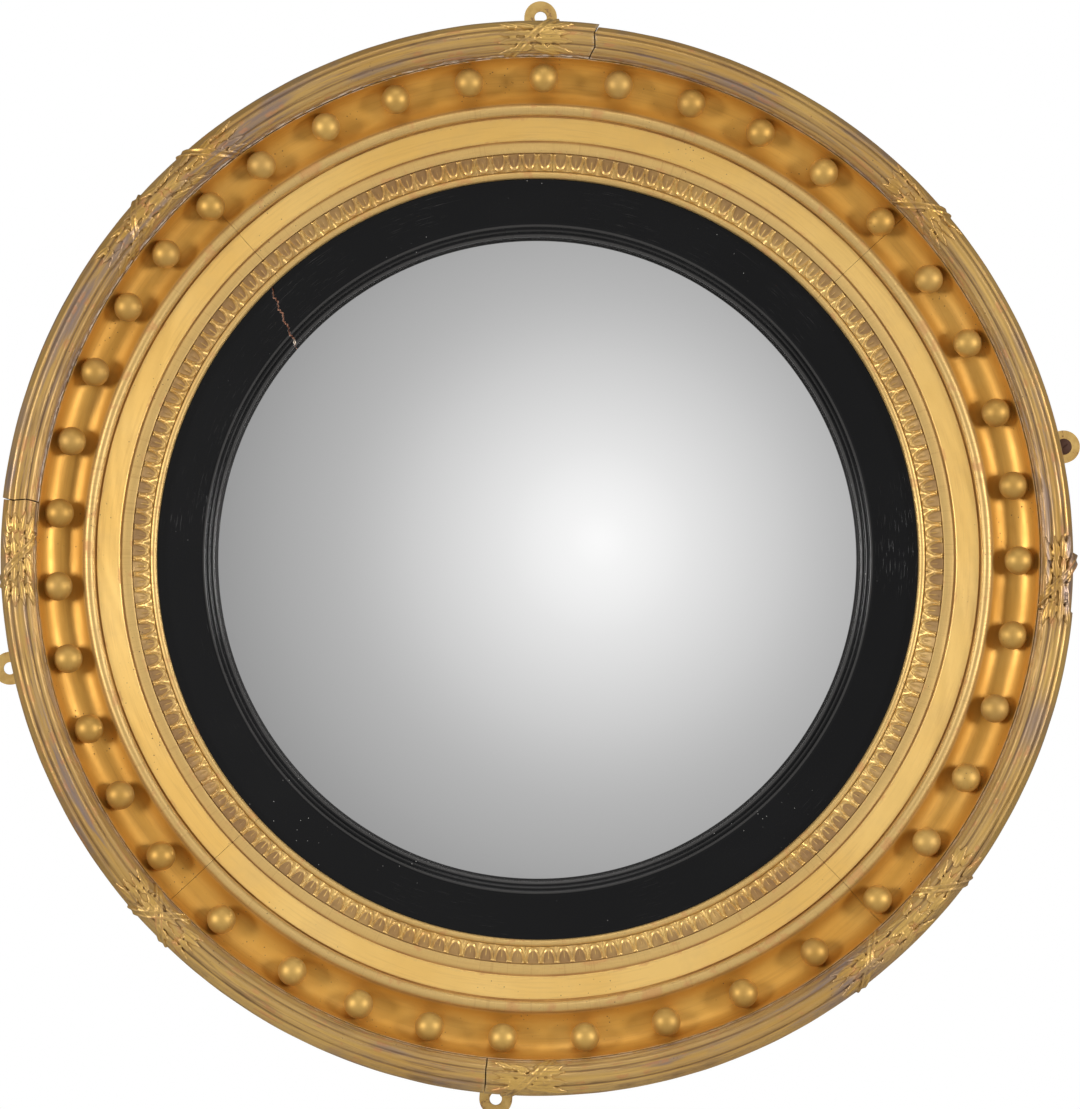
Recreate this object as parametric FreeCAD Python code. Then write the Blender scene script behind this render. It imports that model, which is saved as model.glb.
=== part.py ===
"""Round wall mirror: a convex glass in an ebonised slip, inside a turned and gilded frame.

The frame is two layers of felloes with staggered joints, a reeded rim bound with leaf ties,
a hollow set with balls, and a lamb's-tongue moulding beside the slip. Millimetres, +Z up.
The wall is the plane y = 0, and the glass faces -Y. Sections are drawn as (radius, depth),
where depth is the distance from the wall. Angles run anticlockwise from +X, seen from the front.
"""
import FreeCAD
import Part

import math
import os

# Radii, from the rim inwards
outer_radius = 305.0
rim_width = 19.7
hollow_width = 26.2
bead_width = 6.5
quirk_width = 1.0
frieze_width = 12.9
band_width = 6.7
tongue_seat_width = 9.7
sight_bead_width = 4.0
slip_face_width = 25.3
slip_reed_width = 7.5

# Depths, from the wall to the front
back_thickness = 20.0
slip_lap = 7.5
sight_rise = 3.5
tongue_rise = 5.6
band_rise = 1.8
step_rise = 1.6
frieze_rise = 3.6
bead_step = 1.6
lip_rise = 6.3
rim_let_in = 4.5
rim_axis_height = 6.0

# Shapes of the mouldings
rim_overhang = 9.0
side_cove_sag = 2.0
rim_seat_margin = 2.5
reed_count = 10
reed_depth = 0.9
lip_width = 0.4
hollow_sag = 9.0
bead_height = 3.0
quirk_depth = 1.0
band_crown = 0.4
sight_crown = 1.8
front_joint_angle = 43.0
back_joint_angle = 88.0
rim_joint_angle = 84.0
felloe_gap = 0.2
rim_gap = 0.7
rim_creep = {"upper_right": -0.9, "upper_left": 0.8, "lower_left": 0.1, "lower_right": 0.2}

# Gilt balls, stepped round the hollow by eye: (number of balls, degrees from one to the next)
ball_radius = 8.2
ball_lean = 28.0
ball_start_angle = 89.5
ball_runs = ((15, 9.0), (5, 9.8), (3, 8.8), (2, 10.4), (8, 8.7), (3, 7.8), (4, 9.0))
ball_pin_radius = 0.85
ball_pin_in_ball = 6.0
ball_pin_in_wood = 10.0

# Leaf ties on the rim: (middle angle, length along the rim, ribbons).
# A ribbon is (distance from the middle, side to which its outer end leans: 1 clockwise).
ties = {
    "top": (90.5, 46.0, ((2.5, 1),)),
    "upper_right": (42.5, 57.0, ((0.0, 1),)),
    "right": (-2.8, 54.0, ((0.0, -1),)),
    "lower_right": (-45.0, 113.0, ((28.0, -1), (-31.0, 1))),
    "bottom": (-91.2, 46.0, ((0.0, 1),)),
    "lower_left": (-136.6, 61.0, ((0.0, 1), (0.0, -1))),
    "left": (180.5, 57.0, ((0.0, -1),)),
    "upper_left": (136.0, 113.0, ((26.0, 1), (-33.5, -1))),
}
tie_relief = 1.0
tie_stem_width = 4.0
tie_edge_turn = 4.0
ribbon_width = 5.0
ribbon_lean = 50.0
leaf_width = 6.5
leaf_length = 15.0
leaves_across = 3
leaf_base_share = 0.15
leaf_tip_share = 0.9

# Lamb's-tongue moulding
tongue_count = 160
tongue_joint_angle = 88.0
tongue_base_thickness = 1.2
tongue_height = 0.9
tongue_share = 0.78
tongue_length = 8.6
tongue_waist_share = 0.6
tongue_waist_width_share = 0.82

# Ebonised slip
slip_lap_width = 6.0
slip_land_width = 0.6
slip_thickness = 9.4
slip_face_fall = 3.0
slip_reed_fall = 3.4
slip_reed_count = 3
slip_reed_height = 0.6
slip_crack_outer_angle = 134.7
slip_crack_inner_angle = 138.7
slip_crack_width = 0.4
slip_crack_depth = 1.2

# Glass and what holds it
glass_curve_radius = 700.0
glass_thickness = 3.0
glass_lap = 6.0
silvering_thickness = 0.35
silvering_margin = 2.5
edge_strip_thickness = 0.5
block_count = 12
block_width = 16.0
block_nose = 5.0

# Backboard
board_lap = 14.0
board_thickness = 8.0
middle_board_width = 158.0
board_gap = 0.5
nail_count = 12
nail_radius = 0.9
nail_grip = 9.0
nail_head_radius = 2.4
nail_head_thickness = 0.7
nail_head_sink = 0.3

# Hanging plates, each (angle, distance of its hole outside the rim), and screws
plate_places = {
    "top": (89.65, 11.4),
    "right": (12.2, 8.7),
    "bottom": (265.6, 6.8),
    "left": (191.7, 5.8),
}
plate_hole_radius = 3.55
plate_lug_radius = 9.5
plate_thickness = 1.8
plate_length = 70.0
plate_screw_radius = 2.0
plate_screw_length = 14.0
plate_screw_head_radius = 3.9
plate_screw_spacing = 18.0
plate_screw_end = 8.0
screw_slot_width = 0.9
screw_slot_depth = 0.7
screw_slot_turn = 37.0
wall_screw_radius = 2.9
wall_screw_head_radius = 4.7
wall_screw_head_height = 2.6
wall_screw_plate = "right"

# Clearances
glue_gap = 0.05
seat_gap = 0.1
pin_gap = 0.05
bury = 0.4

# Derived radii
rim_inner_radius = outer_radius - rim_width
rim_middle_radius = outer_radius - rim_width / 2
side_radius = outer_radius - rim_overhang
hollow_inner_radius = rim_inner_radius - hollow_width
bead_inner_radius = hollow_inner_radius - bead_width
frieze_outer_radius = bead_inner_radius - quirk_width
frieze_inner_radius = frieze_outer_radius - frieze_width
band_inner_radius = frieze_inner_radius - band_width
tongue_inner_radius = band_inner_radius - tongue_seat_width
sight_radius = tongue_inner_radius - sight_bead_width
slip_reed_radius = sight_radius - slip_face_width
glass_sight_radius = slip_reed_radius - slip_reed_width
slip_outer_radius = sight_radius + slip_lap_width
rebate_radius = slip_outer_radius + seat_gap
board_rebate_radius = rebate_radius + board_lap
board_radius = board_rebate_radius - seat_gap
glass_radius = glass_sight_radius + glass_lap

# Derived depths
slip_front = back_thickness + slip_lap
slip_back = slip_front - slip_thickness
sight_depth = slip_front + sight_rise
tongue_seat_depth = sight_depth + tongue_rise
band_depth = tongue_seat_depth + band_rise
frieze_inner_depth = band_depth + step_rise
frieze_outer_depth = frieze_inner_depth + frieze_rise
bead_depth = frieze_outer_depth + bead_step
lip_depth = bead_depth + lip_rise
rim_seat_depth = lip_depth - rim_let_in
rim_axis_depth = rim_seat_depth + rim_axis_height

ORIGIN = FreeCAD.Vector(0, 0, 0)
TO_FRONT = FreeCAD.Vector(0, -1, 0)
SAME_POINT = 1e-6
FULL_TURN = 360.0
QUARTER_TURN = FULL_TURN / 4
QUARTERS = ("upper_left", "lower_left", "lower_right", "upper_right")
SIDES = ("top", "left", "bottom", "right")


def point(radius, depth, across=0.0):
    """Point of a section at angle 0; across is along the ring's tangent there."""
    return FreeCAD.Vector(radius, -depth, across)


def spot(radius, angle, depth=0.0):
    """Point at a radius and an angle in degrees, at a depth from the wall."""
    turn = math.radians(angle)
    return FreeCAD.Vector(radius * math.cos(turn), -depth, radius * math.sin(turn))


def outline(start, *steps):
    """Flat face, closed by a line if need be. A step is a point, or (point on an arc, its end)."""
    edges = []
    here = start
    for step in steps:
        if isinstance(step, tuple):
            through, end = step
            edges.append(Part.Arc(here, through, end).toShape())
        else:
            end = step
            edges.append(Part.makeLine(here, end))
        here = end
    if not here.isEqual(start, SAME_POINT):
        edges.append(Part.makeLine(here, start))
    return Part.Face(Part.Wire(edges))


def placed(shape, angle):
    """Copy of a shape made at angle 0, turned to its place round the mirror."""
    copy = shape.copy()
    copy.rotate(ORIGIN, TO_FRONT, angle)
    return copy


def turned(face, start=0.0, end=FULL_TURN):
    """Solid swept by a section from one angle to another."""
    return placed(face, start).revolve(ORIGIN, TO_FRONT, end - start)


def quarter_turned(face, first_joint, index, gap, radius):
    """One of four equal ring segments, shortened by half a joint gap at each end."""
    half_gap = math.degrees(gap / 2 / radius)
    start = first_joint + QUARTER_TURN * index
    return turned(face, start + half_gap, start + QUARTER_TURN - half_gap)


def cut(shape, tools):
    """Shape less all the tools at once."""
    return shape.cut(Part.makeCompound(tools)) if tools else shape


def pin(start, direction, radius, length):
    """Plain cylinder."""
    return Part.makeCylinder(radius, length, start, direction)


def middle(first, second):
    """Point halfway between two points."""
    return (first + second) * 0.5


def save(name, shape):
    """Write one named piece."""
    shape.exportStep("parts/" + name + ".step")


# ---- Shapes shared by several pieces ----

def hollow_ends():
    """Outer and inner ends of the hollow's arc."""
    outer = point(rim_inner_radius - lip_width, lip_depth)
    return outer, point(hollow_inner_radius, bead_depth)


def hollow_bottom():
    """Point of the hollow's arc that is furthest from its chord."""
    outer, inner = hollow_ends()
    chord = inner - outer
    downward = FreeCAD.Vector(-chord.y, chord.x, 0).normalize()
    if downward.y < 0:
        downward = downward * -1
    return middle(outer, inner) + downward * hollow_sag


def hollow_circle():
    """Centre and radius of the hollow's arc."""
    outer, inner = hollow_ends()
    half_chord = (inner - outer).Length / 2
    radius = (half_chord ** 2 + hollow_sag ** 2) / (2 * hollow_sag)
    bottom = hollow_bottom()
    inward = (middle(outer, inner) - bottom).normalize()
    return bottom + inward * radius, radius


def ball_seat():
    """Centre of a ball at angle 0 and the direction from it into the wood."""
    centre, radius = hollow_circle()
    lean = math.radians(ball_lean)
    into_wood = FreeCAD.Vector(math.sin(lean), math.cos(lean), 0)
    return centre + into_wood * (radius - ball_radius - seat_gap), into_wood


def ball_angles():
    """Angles of the balls, clockwise from the top, closing on themselves."""
    steps = [step for count, step in ball_runs for _ in range(count)]
    share = FULL_TURN / sum(steps)
    return [ball_start_angle - share * sum(steps[:index]) for index in range(len(steps))]


def rim_circle(quarter):
    """Radius of the rim's axis and radius of its round, for one quarter."""
    radius = (rim_width - seat_gap + rim_creep[quarter]) / 2
    return rim_inner_radius + seat_gap + radius, radius


def glass_depth(radius, curve_radius):
    """Depth of a spherical face of the glass, at a distance from its middle."""
    apex = slip_back - seat_gap + glass_curve_radius
    apex -= math.sqrt(glass_curve_radius ** 2 - glass_sight_radius ** 2)
    centre = apex - glass_curve_radius
    return centre + math.sqrt(curve_radius ** 2 - radius ** 2)


def dome(radius, front_curve, back_curve):
    """Spherical shell between two concentric curves, out to a radius."""
    half = radius / 2
    front_edge = point(radius, glass_depth(radius, front_curve))
    back_edge = point(radius, glass_depth(radius, back_curve))
    face = outline(
        point(0, glass_depth(0, front_curve)),
        (point(half, glass_depth(half, front_curve)), front_edge),
        back_edge,
        (point(half, glass_depth(half, back_curve)), point(0, glass_depth(0, back_curve))),
    )
    return turned(face)


def plate_outline(grow, place, thickness):
    """Hanging plate's stadium outline, grown by a clearance, as a slab from the wall."""
    angle, reach = place
    half = plate_lug_radius + grow
    hole = outer_radius + reach
    inner_end = hole + plate_lug_radius - plate_length - grow
    face = outline(
        point(inner_end, 0, -half),
        point(hole, 0, -half),
        (point(hole + half, 0, 0), point(hole, 0, half)),
        point(inner_end, 0, half),
    )
    return placed(face.extrude(TO_FRONT * thickness), angle)


def plate_screw_spots(place):
    """Points on the wall plane under a hanging plate's two screws."""
    angle, reach = place
    first = outer_radius + reach + plate_lug_radius - plate_length + plate_screw_end
    return [spot(first, angle), spot(first + plate_screw_spacing, angle)]


def plate_screw(start, grow):
    """Countersunk screw from the wall plane, grown by a clearance."""
    head = Part.makeCone(
        plate_screw_head_radius + grow, plate_screw_radius + grow,
        plate_screw_head_radius - plate_screw_radius, start, TO_FRONT,
    )
    shank = pin(start, TO_FRONT, plate_screw_radius + grow, plate_screw_length + grow)
    return head.fuse(shank)


def screw_slot(start, direction, turn, head_radius):
    """Bar that cuts a screwdriver slot across a head, down from its middle."""
    length = 2 * (head_radius + bury)
    bar = Part.makeBox(length, 2 * screw_slot_depth, screw_slot_width)
    bar.translate(FreeCAD.Vector(-length / 2, -screw_slot_depth, -screw_slot_width / 2))
    bar.rotate(ORIGIN, direction, turn)
    bar.translate(start)
    return bar


def nail_spots():
    """Points on the wall plane under the backboard's nails."""
    circle = (rebate_radius + board_rebate_radius) / 2
    step = FULL_TURN / nail_count
    return [spot(circle, step * (index + 0.5)) for index in range(nail_count)]


def nail_hole(start):
    """Hole for a nail's shank through board and ledge, with a seat for its head."""
    head_seat = pin(start, TO_FRONT, nail_head_radius + pin_gap,
                    nail_head_sink + nail_head_thickness)
    shank_hole = pin(start, TO_FRONT, nail_radius + pin_gap,
                     board_thickness + nail_grip + pin_gap)
    return head_seat.fuse(shank_hole)


# ---- Frame ----

def front_section():
    """The mouldings, from the outer side over the hollow to the slip's rebate."""
    seat_outer = outer_radius - rim_seat_margin
    side_foot = point(side_radius, back_thickness)
    side_top = point(seat_outer, rim_seat_depth)
    side_middle = middle(side_foot, side_top) - FreeCAD.Vector(side_cove_sag, 0, 0)
    hollow_outer, hollow_inner = hollow_ends()
    bead_middle = (hollow_inner_radius + bead_inner_radius) / 2
    band_middle = (frieze_inner_radius + band_inner_radius) / 2
    sight_middle = (tongue_inner_radius + sight_radius) / 2
    return outline(
        side_foot,
        (side_middle, side_top),
        point(rim_inner_radius, rim_seat_depth),
        point(rim_inner_radius, lip_depth),
        hollow_outer,
        (hollow_bottom(), hollow_inner),
        (point(bead_middle, bead_depth + bead_height), point(bead_inner_radius, bead_depth)),
        point(bead_inner_radius, frieze_outer_depth - quirk_depth),
        point(frieze_outer_radius, frieze_outer_depth - quirk_depth),
        point(frieze_outer_radius, frieze_outer_depth),
        point(frieze_inner_radius, frieze_inner_depth),
        point(frieze_inner_radius, band_depth),
        (point(band_middle, band_depth + band_crown), point(band_inner_radius, band_depth)),
        point(band_inner_radius, tongue_seat_depth),
        point(tongue_inner_radius, sight_depth),
        (point(sight_middle, sight_depth + sight_crown), point(sight_radius, sight_depth)),
        point(sight_radius, slip_front),
        point(rebate_radius, slip_front),
        point(rebate_radius, back_thickness),
    )


def ball_pin(angle, grow):
    """Pin through a ball's seat, grown by a clearance."""
    centre, into_wood = ball_seat()
    start = centre + into_wood * (ball_radius - ball_pin_in_ball - grow)
    length = ball_pin_in_ball + seat_gap + ball_pin_in_wood + 2 * grow
    return placed(pin(start, into_wood, ball_pin_radius + grow, length), angle)


def make_front():
    """Four front felloes, drilled for the ball pins."""
    holes = [ball_pin(angle, pin_gap) for angle in ball_angles()]
    for index, side in enumerate(SIDES):
        felloe = quarter_turned(
            front_section(), front_joint_angle, index, felloe_gap, hollow_inner_radius)
        save("front_felloe_" + side, cut(felloe, holes))


def back_section():
    """Back ring, with the ledge that carries the backboard."""
    return outline(
        point(side_radius, 0),
        point(side_radius, back_thickness),
        point(rebate_radius, back_thickness),
        point(rebate_radius, board_thickness),
        point(board_rebate_radius, board_thickness),
        point(board_rebate_radius, 0),
    )


def make_back():
    """Four back felloes, let in for the hanging plates and drilled for nails and screws."""
    tools = [nail_hole(start) for start in nail_spots()]
    for place in plate_places.values():
        tools.append(plate_outline(seat_gap, place, plate_thickness + glue_gap))
        for start in plate_screw_spots(place):
            tools.append(pin(start, TO_FRONT, plate_screw_radius + pin_gap,
                             plate_screw_length + 2 * pin_gap))
    for index, quarter in enumerate(QUARTERS):
        felloe = quarter_turned(
            back_section(), back_joint_angle, index, felloe_gap, board_rebate_radius)
        save("back_felloe_" + quarter, cut(felloe, tools))


# ---- Rim and leaf ties ----

def rim_section(quarter):
    """Round bundle of reeds, cut flat where it sits on the front felloes."""
    axis_radius, radius = rim_circle(quarter)
    seat_turn = math.asin(rim_axis_height / radius)
    step = (math.pi + 2 * seat_turn) / reed_count

    def on_circle(turn, size):
        return point(axis_radius + size * math.cos(turn), rim_axis_depth + size * math.sin(turn))

    first = point(axis_radius + radius * math.cos(seat_turn), rim_seat_depth)
    last = point(axis_radius - radius * math.cos(seat_turn), rim_seat_depth)
    steps = []
    for index in range(reed_count):
        start = -seat_turn + index * step
        crown = on_circle(start + step / 2, radius)
        groove = on_circle(start + step, radius - reed_depth)
        steps.append((crown, last if index == reed_count - 1 else groove))
    return outline(first, *steps)


def make_rim():
    """Four reeded rim quarters; each has crept in or out a little with age."""
    for index, quarter in enumerate(QUARTERS):
        piece = quarter_turned(
            rim_section(quarter), rim_joint_angle, index, rim_gap, rim_inner_radius)
        save("rim_" + quarter, piece)


def along_rim(distance):
    """Angle that a distance along the middle of the rim takes up."""
    return math.degrees(distance / rim_middle_radius)


def proudest_quarter(angle, length):
    """Name of the rim quarter that stands out furthest under a tie."""
    half = along_rim(length / 2)
    under = {QUARTERS[int((end - rim_joint_angle) % FULL_TURN // QUARTER_TURN)]
             for end in (angle - half, angle + half)}
    return max(under, key=rim_creep.get)


def saddle(quarter, length):
    """Layer of one thickness that wraps the round of the rim, its middle at angle 0."""
    axis_radius, radius = rim_circle(quarter)
    low = math.radians(tie_edge_turn)
    high = math.pi - low
    top = math.pi / 2

    def on_circle(turn, size):
        return point(axis_radius + size * math.cos(turn), rim_axis_depth + size * math.sin(turn))

    inside = radius + glue_gap
    outside = inside + tie_relief
    face = outline(
        on_circle(low, inside),
        (on_circle(top, inside), on_circle(high, inside)),
        on_circle(high, outside),
        (on_circle(top, outside), on_circle(low, outside)),
    )
    return turned(face, -along_rim(length / 2), along_rim(length / 2))


def through_rim(face):
    """Plan outline made into a block that passes right through the rim."""
    return face.extrude(TO_FRONT * (rim_axis_depth + rim_width))


def ribbon_block(place, lean):
    """Slanting ribbon's plan outline: its outer end leads clockwise when lean is 1."""
    near = rim_middle_radius - rim_width
    far = rim_middle_radius + rim_width
    half = ribbon_width / 2
    run = lean * rim_width * math.tan(math.radians(ribbon_lean))
    return through_rim(outline(
        spot(near, along_rim(place + run + half)), spot(far, along_rim(place - run + half)),
        spot(far, along_rim(place - run - half)), spot(near, along_rim(place + run - half)),
    ))


def stem_block(length):
    """Stem that the leaves grow from, along the middle of the rim."""
    near = rim_middle_radius - tie_stem_width / 2
    far = near + tie_stem_width
    half = along_rim(length / 2)
    return through_rim(outline(
        spot(near, -half), (spot(near, 0), spot(near, half)),
        spot(far, half), (spot(far, 0), spot(far, -half)),
    ))


def leaf_block(base_place, way, across):
    """Pointed leaf's plan outline, growing outwards along the rim from the stem."""
    base = spot(rim_middle_radius + across * leaf_base_share, along_rim(base_place))
    tip = spot(rim_middle_radius + across, along_rim(base_place + way * leaf_length))
    along = (tip - base).normalize()
    side = FreeCAD.Vector(-along.z, 0, along.x) * (leaf_width / 2)
    belly = middle(base, tip)
    return through_rim(outline(base, (belly + side, tip), (belly - side, base)))


def leaf_tie(angle, length, ribbons):
    """Leaves laid along the reeds and bound with slanting ribbons."""
    rows = max(1, round(length / 2 / leaf_length))
    blocks = [ribbon_block(place, lean) for place, lean in ribbons]
    for row in range(rows):
        shift = row * (length / 2 - leaf_length) / max(1, rows - 1)
        for way in (-1, 1):
            for leaf in range(leaves_across):
                across = rim_width * (leaf / (leaves_across - 1) - 0.5) * leaf_tip_share
                blocks.append(leaf_block(way * shift, way, across))
    pattern = stem_block(length - leaf_length).multiFuse(blocks)
    skin = saddle(proudest_quarter(angle, length), length)
    return placed(skin.common(pattern), angle)


def make_ties():
    """Eight leaf ties, each in its own place and with its own ribbons."""
    for name, (angle, length, ribbons) in ties.items():
        save("leaf_tie_" + name, leaf_tie(angle, length, ribbons))


# ---- Balls ----

def make_balls():
    """Gilt balls in the hollow and the pins that hold them."""
    centre, _ = ball_seat()
    balls = []
    pins = []
    for angle in ball_angles():
        ball = placed(Part.makeSphere(ball_radius, centre), angle)
        balls.append(ball.cut(ball_pin(angle, pin_gap)))
        pins.append(ball_pin(angle, 0.0))
    save("gilt_balls", Part.makeCompound(balls))
    save("ball_pins", Part.makeCompound(pins))


# ---- Lamb's-tongue moulding ----

def on_slope(along, across):
    """Point on the moulding's base: along runs down the slope, across along the ring."""
    outer = point(band_inner_radius - seat_gap, tongue_seat_depth + tongue_base_thickness)
    inner = point(tongue_inner_radius + seat_gap, sight_depth + tongue_base_thickness)
    down = (inner - outer).normalize()
    return outer + down * along + FreeCAD.Vector(0, 0, across)


def slope_relief(face):
    """Plan outline on the slope raised into a solid, buried a little in the base."""
    down = on_slope(1, 0) - on_slope(0, 0)
    up = FreeCAD.Vector(-down.y, down.x, 0)
    if up.y > 0:
        up = up * -1
    body = face.extrude(up * (tongue_height + bury))
    body.translate(up * -bury)
    return body


def make_tongues():
    """Four strips of lamb's-tongue moulding on the slope beside the slip."""
    pitch = FULL_TURN / tongue_count
    half = tongue_share * math.radians(pitch) * band_inner_radius / 2
    waist = tongue_length * tongue_waist_share
    half_waist = half * tongue_waist_width_share
    tongue = slope_relief(outline(
        on_slope(0, -half),
        (on_slope(waist, -half_waist), on_slope(tongue_length, 0)),
        (on_slope(waist, half_waist), on_slope(0, half)),
    ))
    rise = FreeCAD.Vector(0, -tongue_base_thickness, 0)
    foot_outer = point(band_inner_radius - seat_gap, tongue_seat_depth + glue_gap)
    foot_inner = point(tongue_inner_radius + seat_gap, sight_depth + glue_gap)
    base = outline(foot_outer, foot_outer + rise, foot_inner + rise, foot_inner)
    per_strip = tongue_count // len(QUARTERS)
    for index, quarter in enumerate(QUARTERS):
        strip = quarter_turned(base, tongue_joint_angle, index, felloe_gap, band_inner_radius)
        start = tongue_joint_angle + QUARTER_TURN * index
        reliefs = [placed(tongue, start + pitch * (place + 0.5)) for place in range(per_strip)]
        save("tongue_moulding_" + quarter, strip.multiFuse(reliefs))


# ---- Slip, glass and what holds them ----

def make_slip():
    """Ebonised slip with reeds beside the glass and one old crack in its face."""
    reed_top = point(slip_reed_radius, slip_front - slip_face_fall)
    lip = point(glass_sight_radius, slip_front - slip_face_fall - slip_reed_fall)
    run = lip - reed_top
    outward = FreeCAD.Vector(run.y, -run.x, 0).normalize() * slip_reed_height
    if outward.y > 0:
        outward = outward * -1
    reeds = []
    for index in range(slip_reed_count):
        crown = reed_top + run * ((index + 0.5) / slip_reed_count) + outward
        reeds.append((crown, reed_top + run * ((index + 1) / slip_reed_count)))
    face = outline(
        point(slip_outer_radius, slip_back),
        point(slip_outer_radius, slip_front - glue_gap),
        point(sight_radius - slip_land_width, slip_front - glue_gap),
        reed_top,
        *reeds,
        point(glass_sight_radius, slip_back),
    )
    outer_end = spot(sight_radius, slip_crack_outer_angle, slip_front - slip_crack_depth)
    inner_end = spot(slip_reed_radius, slip_crack_inner_angle,
                     slip_front - slip_face_fall - slip_crack_depth)
    along = (inner_end - outer_end).normalize()
    side = TO_FRONT.cross(along) * (slip_crack_width / 2)
    crack = outline(outer_end + side, inner_end + side, inner_end - side, outer_end - side)
    save("ebonised_slip", turned(face).cut(crack.extrude(TO_FRONT * slip_thickness)))


def make_glass():
    """Convex glass, its silvering, and the paper strip round its edge."""
    back_curve = glass_curve_radius - glass_thickness
    save("convex_glass", dome(glass_radius, glass_curve_radius, back_curve))
    silver_front = back_curve - glue_gap
    silvering = dome(glass_radius - silvering_margin, silver_front,
                     silver_front - silvering_thickness)
    save("silvering", silvering)
    strip_inner = glass_radius + seat_gap
    strip_outer = strip_inner + edge_strip_thickness
    strip_back = glass_depth(glass_radius, back_curve)
    save("glass_edge_strip", turned(outline(
        point(strip_inner, strip_back),
        point(strip_outer, strip_back),
        point(strip_outer, slip_back - glue_gap),
        point(strip_inner, slip_back - glue_gap),
    )))


def make_blocks():
    """Small blocks glued behind the slip, each with a nose over the edge of the glass."""
    back_curve = glass_curve_radius - glass_thickness
    nose_front = glass_depth(glass_radius, back_curve) - silvering_thickness - seat_gap
    shoulder = glass_radius + edge_strip_thickness + 2 * seat_gap
    outer_end = math.sqrt(rebate_radius ** 2 - (block_width / 2) ** 2) - seat_gap
    back = board_thickness + seat_gap
    face = outline(
        point(glass_radius - block_nose, back, -block_width / 2),
        point(outer_end, back, -block_width / 2),
        point(outer_end, slip_back - glue_gap, -block_width / 2),
        point(shoulder, slip_back - glue_gap, -block_width / 2),
        point(shoulder, nose_front, -block_width / 2),
        point(glass_radius - block_nose, nose_front, -block_width / 2),
    )
    block = face.extrude(FreeCAD.Vector(0, 0, block_width))
    step = FULL_TURN / block_count
    save("glass_blocks", Part.makeCompound([placed(block, step * index)
                                            for index in range(block_count)]))


def make_backboard():
    """Three boards let in flush with the back, and the nails that hold them."""
    disc = pin(ORIGIN, TO_FRONT, board_radius, board_thickness)
    disc = cut(disc, [nail_hole(start) for start in nail_spots()])
    inner_edge = middle_board_width / 2
    outer_edge = inner_edge + board_gap
    spans = {
        "left": (-board_radius, -outer_edge),
        "middle": (-inner_edge, inner_edge),
        "right": (outer_edge, board_radius),
    }
    for side, (low, high) in spans.items():
        slab = Part.makeBox(high - low, 2 * board_thickness, 2 * board_radius)
        slab.translate(FreeCAD.Vector(low, -2 * board_thickness, -board_radius))
        save("backboard_" + side, disc.common(slab))
    nails = []
    for start in nail_spots():
        head_start = start + TO_FRONT * nail_head_sink
        head = pin(head_start, TO_FRONT, nail_head_radius, nail_head_thickness)
        shank = pin(head_start, TO_FRONT, nail_radius,
                    board_thickness + nail_grip - nail_head_sink)
        nails.append(head.fuse(shank))
    save("backboard_nails", Part.makeCompound(nails))


# ---- Hanging plates ----

def make_plates():
    """Four hanging plates let in flush with the back, and their screws."""
    screws = []
    for side, place in plate_places.items():
        starts = plate_screw_spots(place)
        tools = [plate_screw(start, pin_gap) for start in starts]
        angle, reach = place
        hole = spot(outer_radius + reach, angle)
        tools.append(pin(hole, TO_FRONT, plate_hole_radius, plate_thickness))
        save("hanging_plate_" + side, cut(plate_outline(0.0, place, plate_thickness), tools))
        for start in starts:
            turn = screw_slot_turn * len(screws)
            slot = screw_slot(start, TO_FRONT, turn, plate_screw_head_radius)
            screws.append(plate_screw(start, 0.0).cut(slot))
    save("plate_screws", Part.makeCompound(screws))


def make_wall_screw():
    """Old broken screw left in one hanging plate, its domed head in front of the plate."""
    angle, reach = plate_places[wall_screw_plate]
    start = spot(outer_radius + reach, angle)
    seat = start + TO_FRONT * (plate_thickness + glue_gap)
    shank = pin(start, TO_FRONT, wall_screw_radius, plate_thickness + wall_screw_head_height / 2)
    curve = (wall_screw_head_radius ** 2 + wall_screw_head_height ** 2)
    curve /= 2 * wall_screw_head_height
    ball = Part.makeSphere(curve, seat + TO_FRONT * (wall_screw_head_height - curve))
    head = pin(seat, TO_FRONT, wall_screw_head_radius, wall_screw_head_height).common(ball)
    crown = seat + TO_FRONT * wall_screw_head_height
    slot = screw_slot(crown, TO_FRONT, screw_slot_turn, wall_screw_head_radius)
    save("wall_screw", head.fuse(shank).cut(slot))


os.makedirs("parts", exist_ok=True)
make_front()
make_back()
make_rim()
make_ties()
make_balls()
make_tongues()
make_slip()
make_glass()
make_blocks()
make_backboard()
make_plates()
make_wall_screw()
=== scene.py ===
# %% [markdown]
# # A round convex mirror in an old gilded frame
#
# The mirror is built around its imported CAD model, which stays fixed. Every new piece here
# stands for one CAD node and stays in its place. All sections are drawn in millimetres as
# (radius, depth), with depth measured from the wall, and are then carried round the ring.

# %% Load the frame
import math

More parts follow.
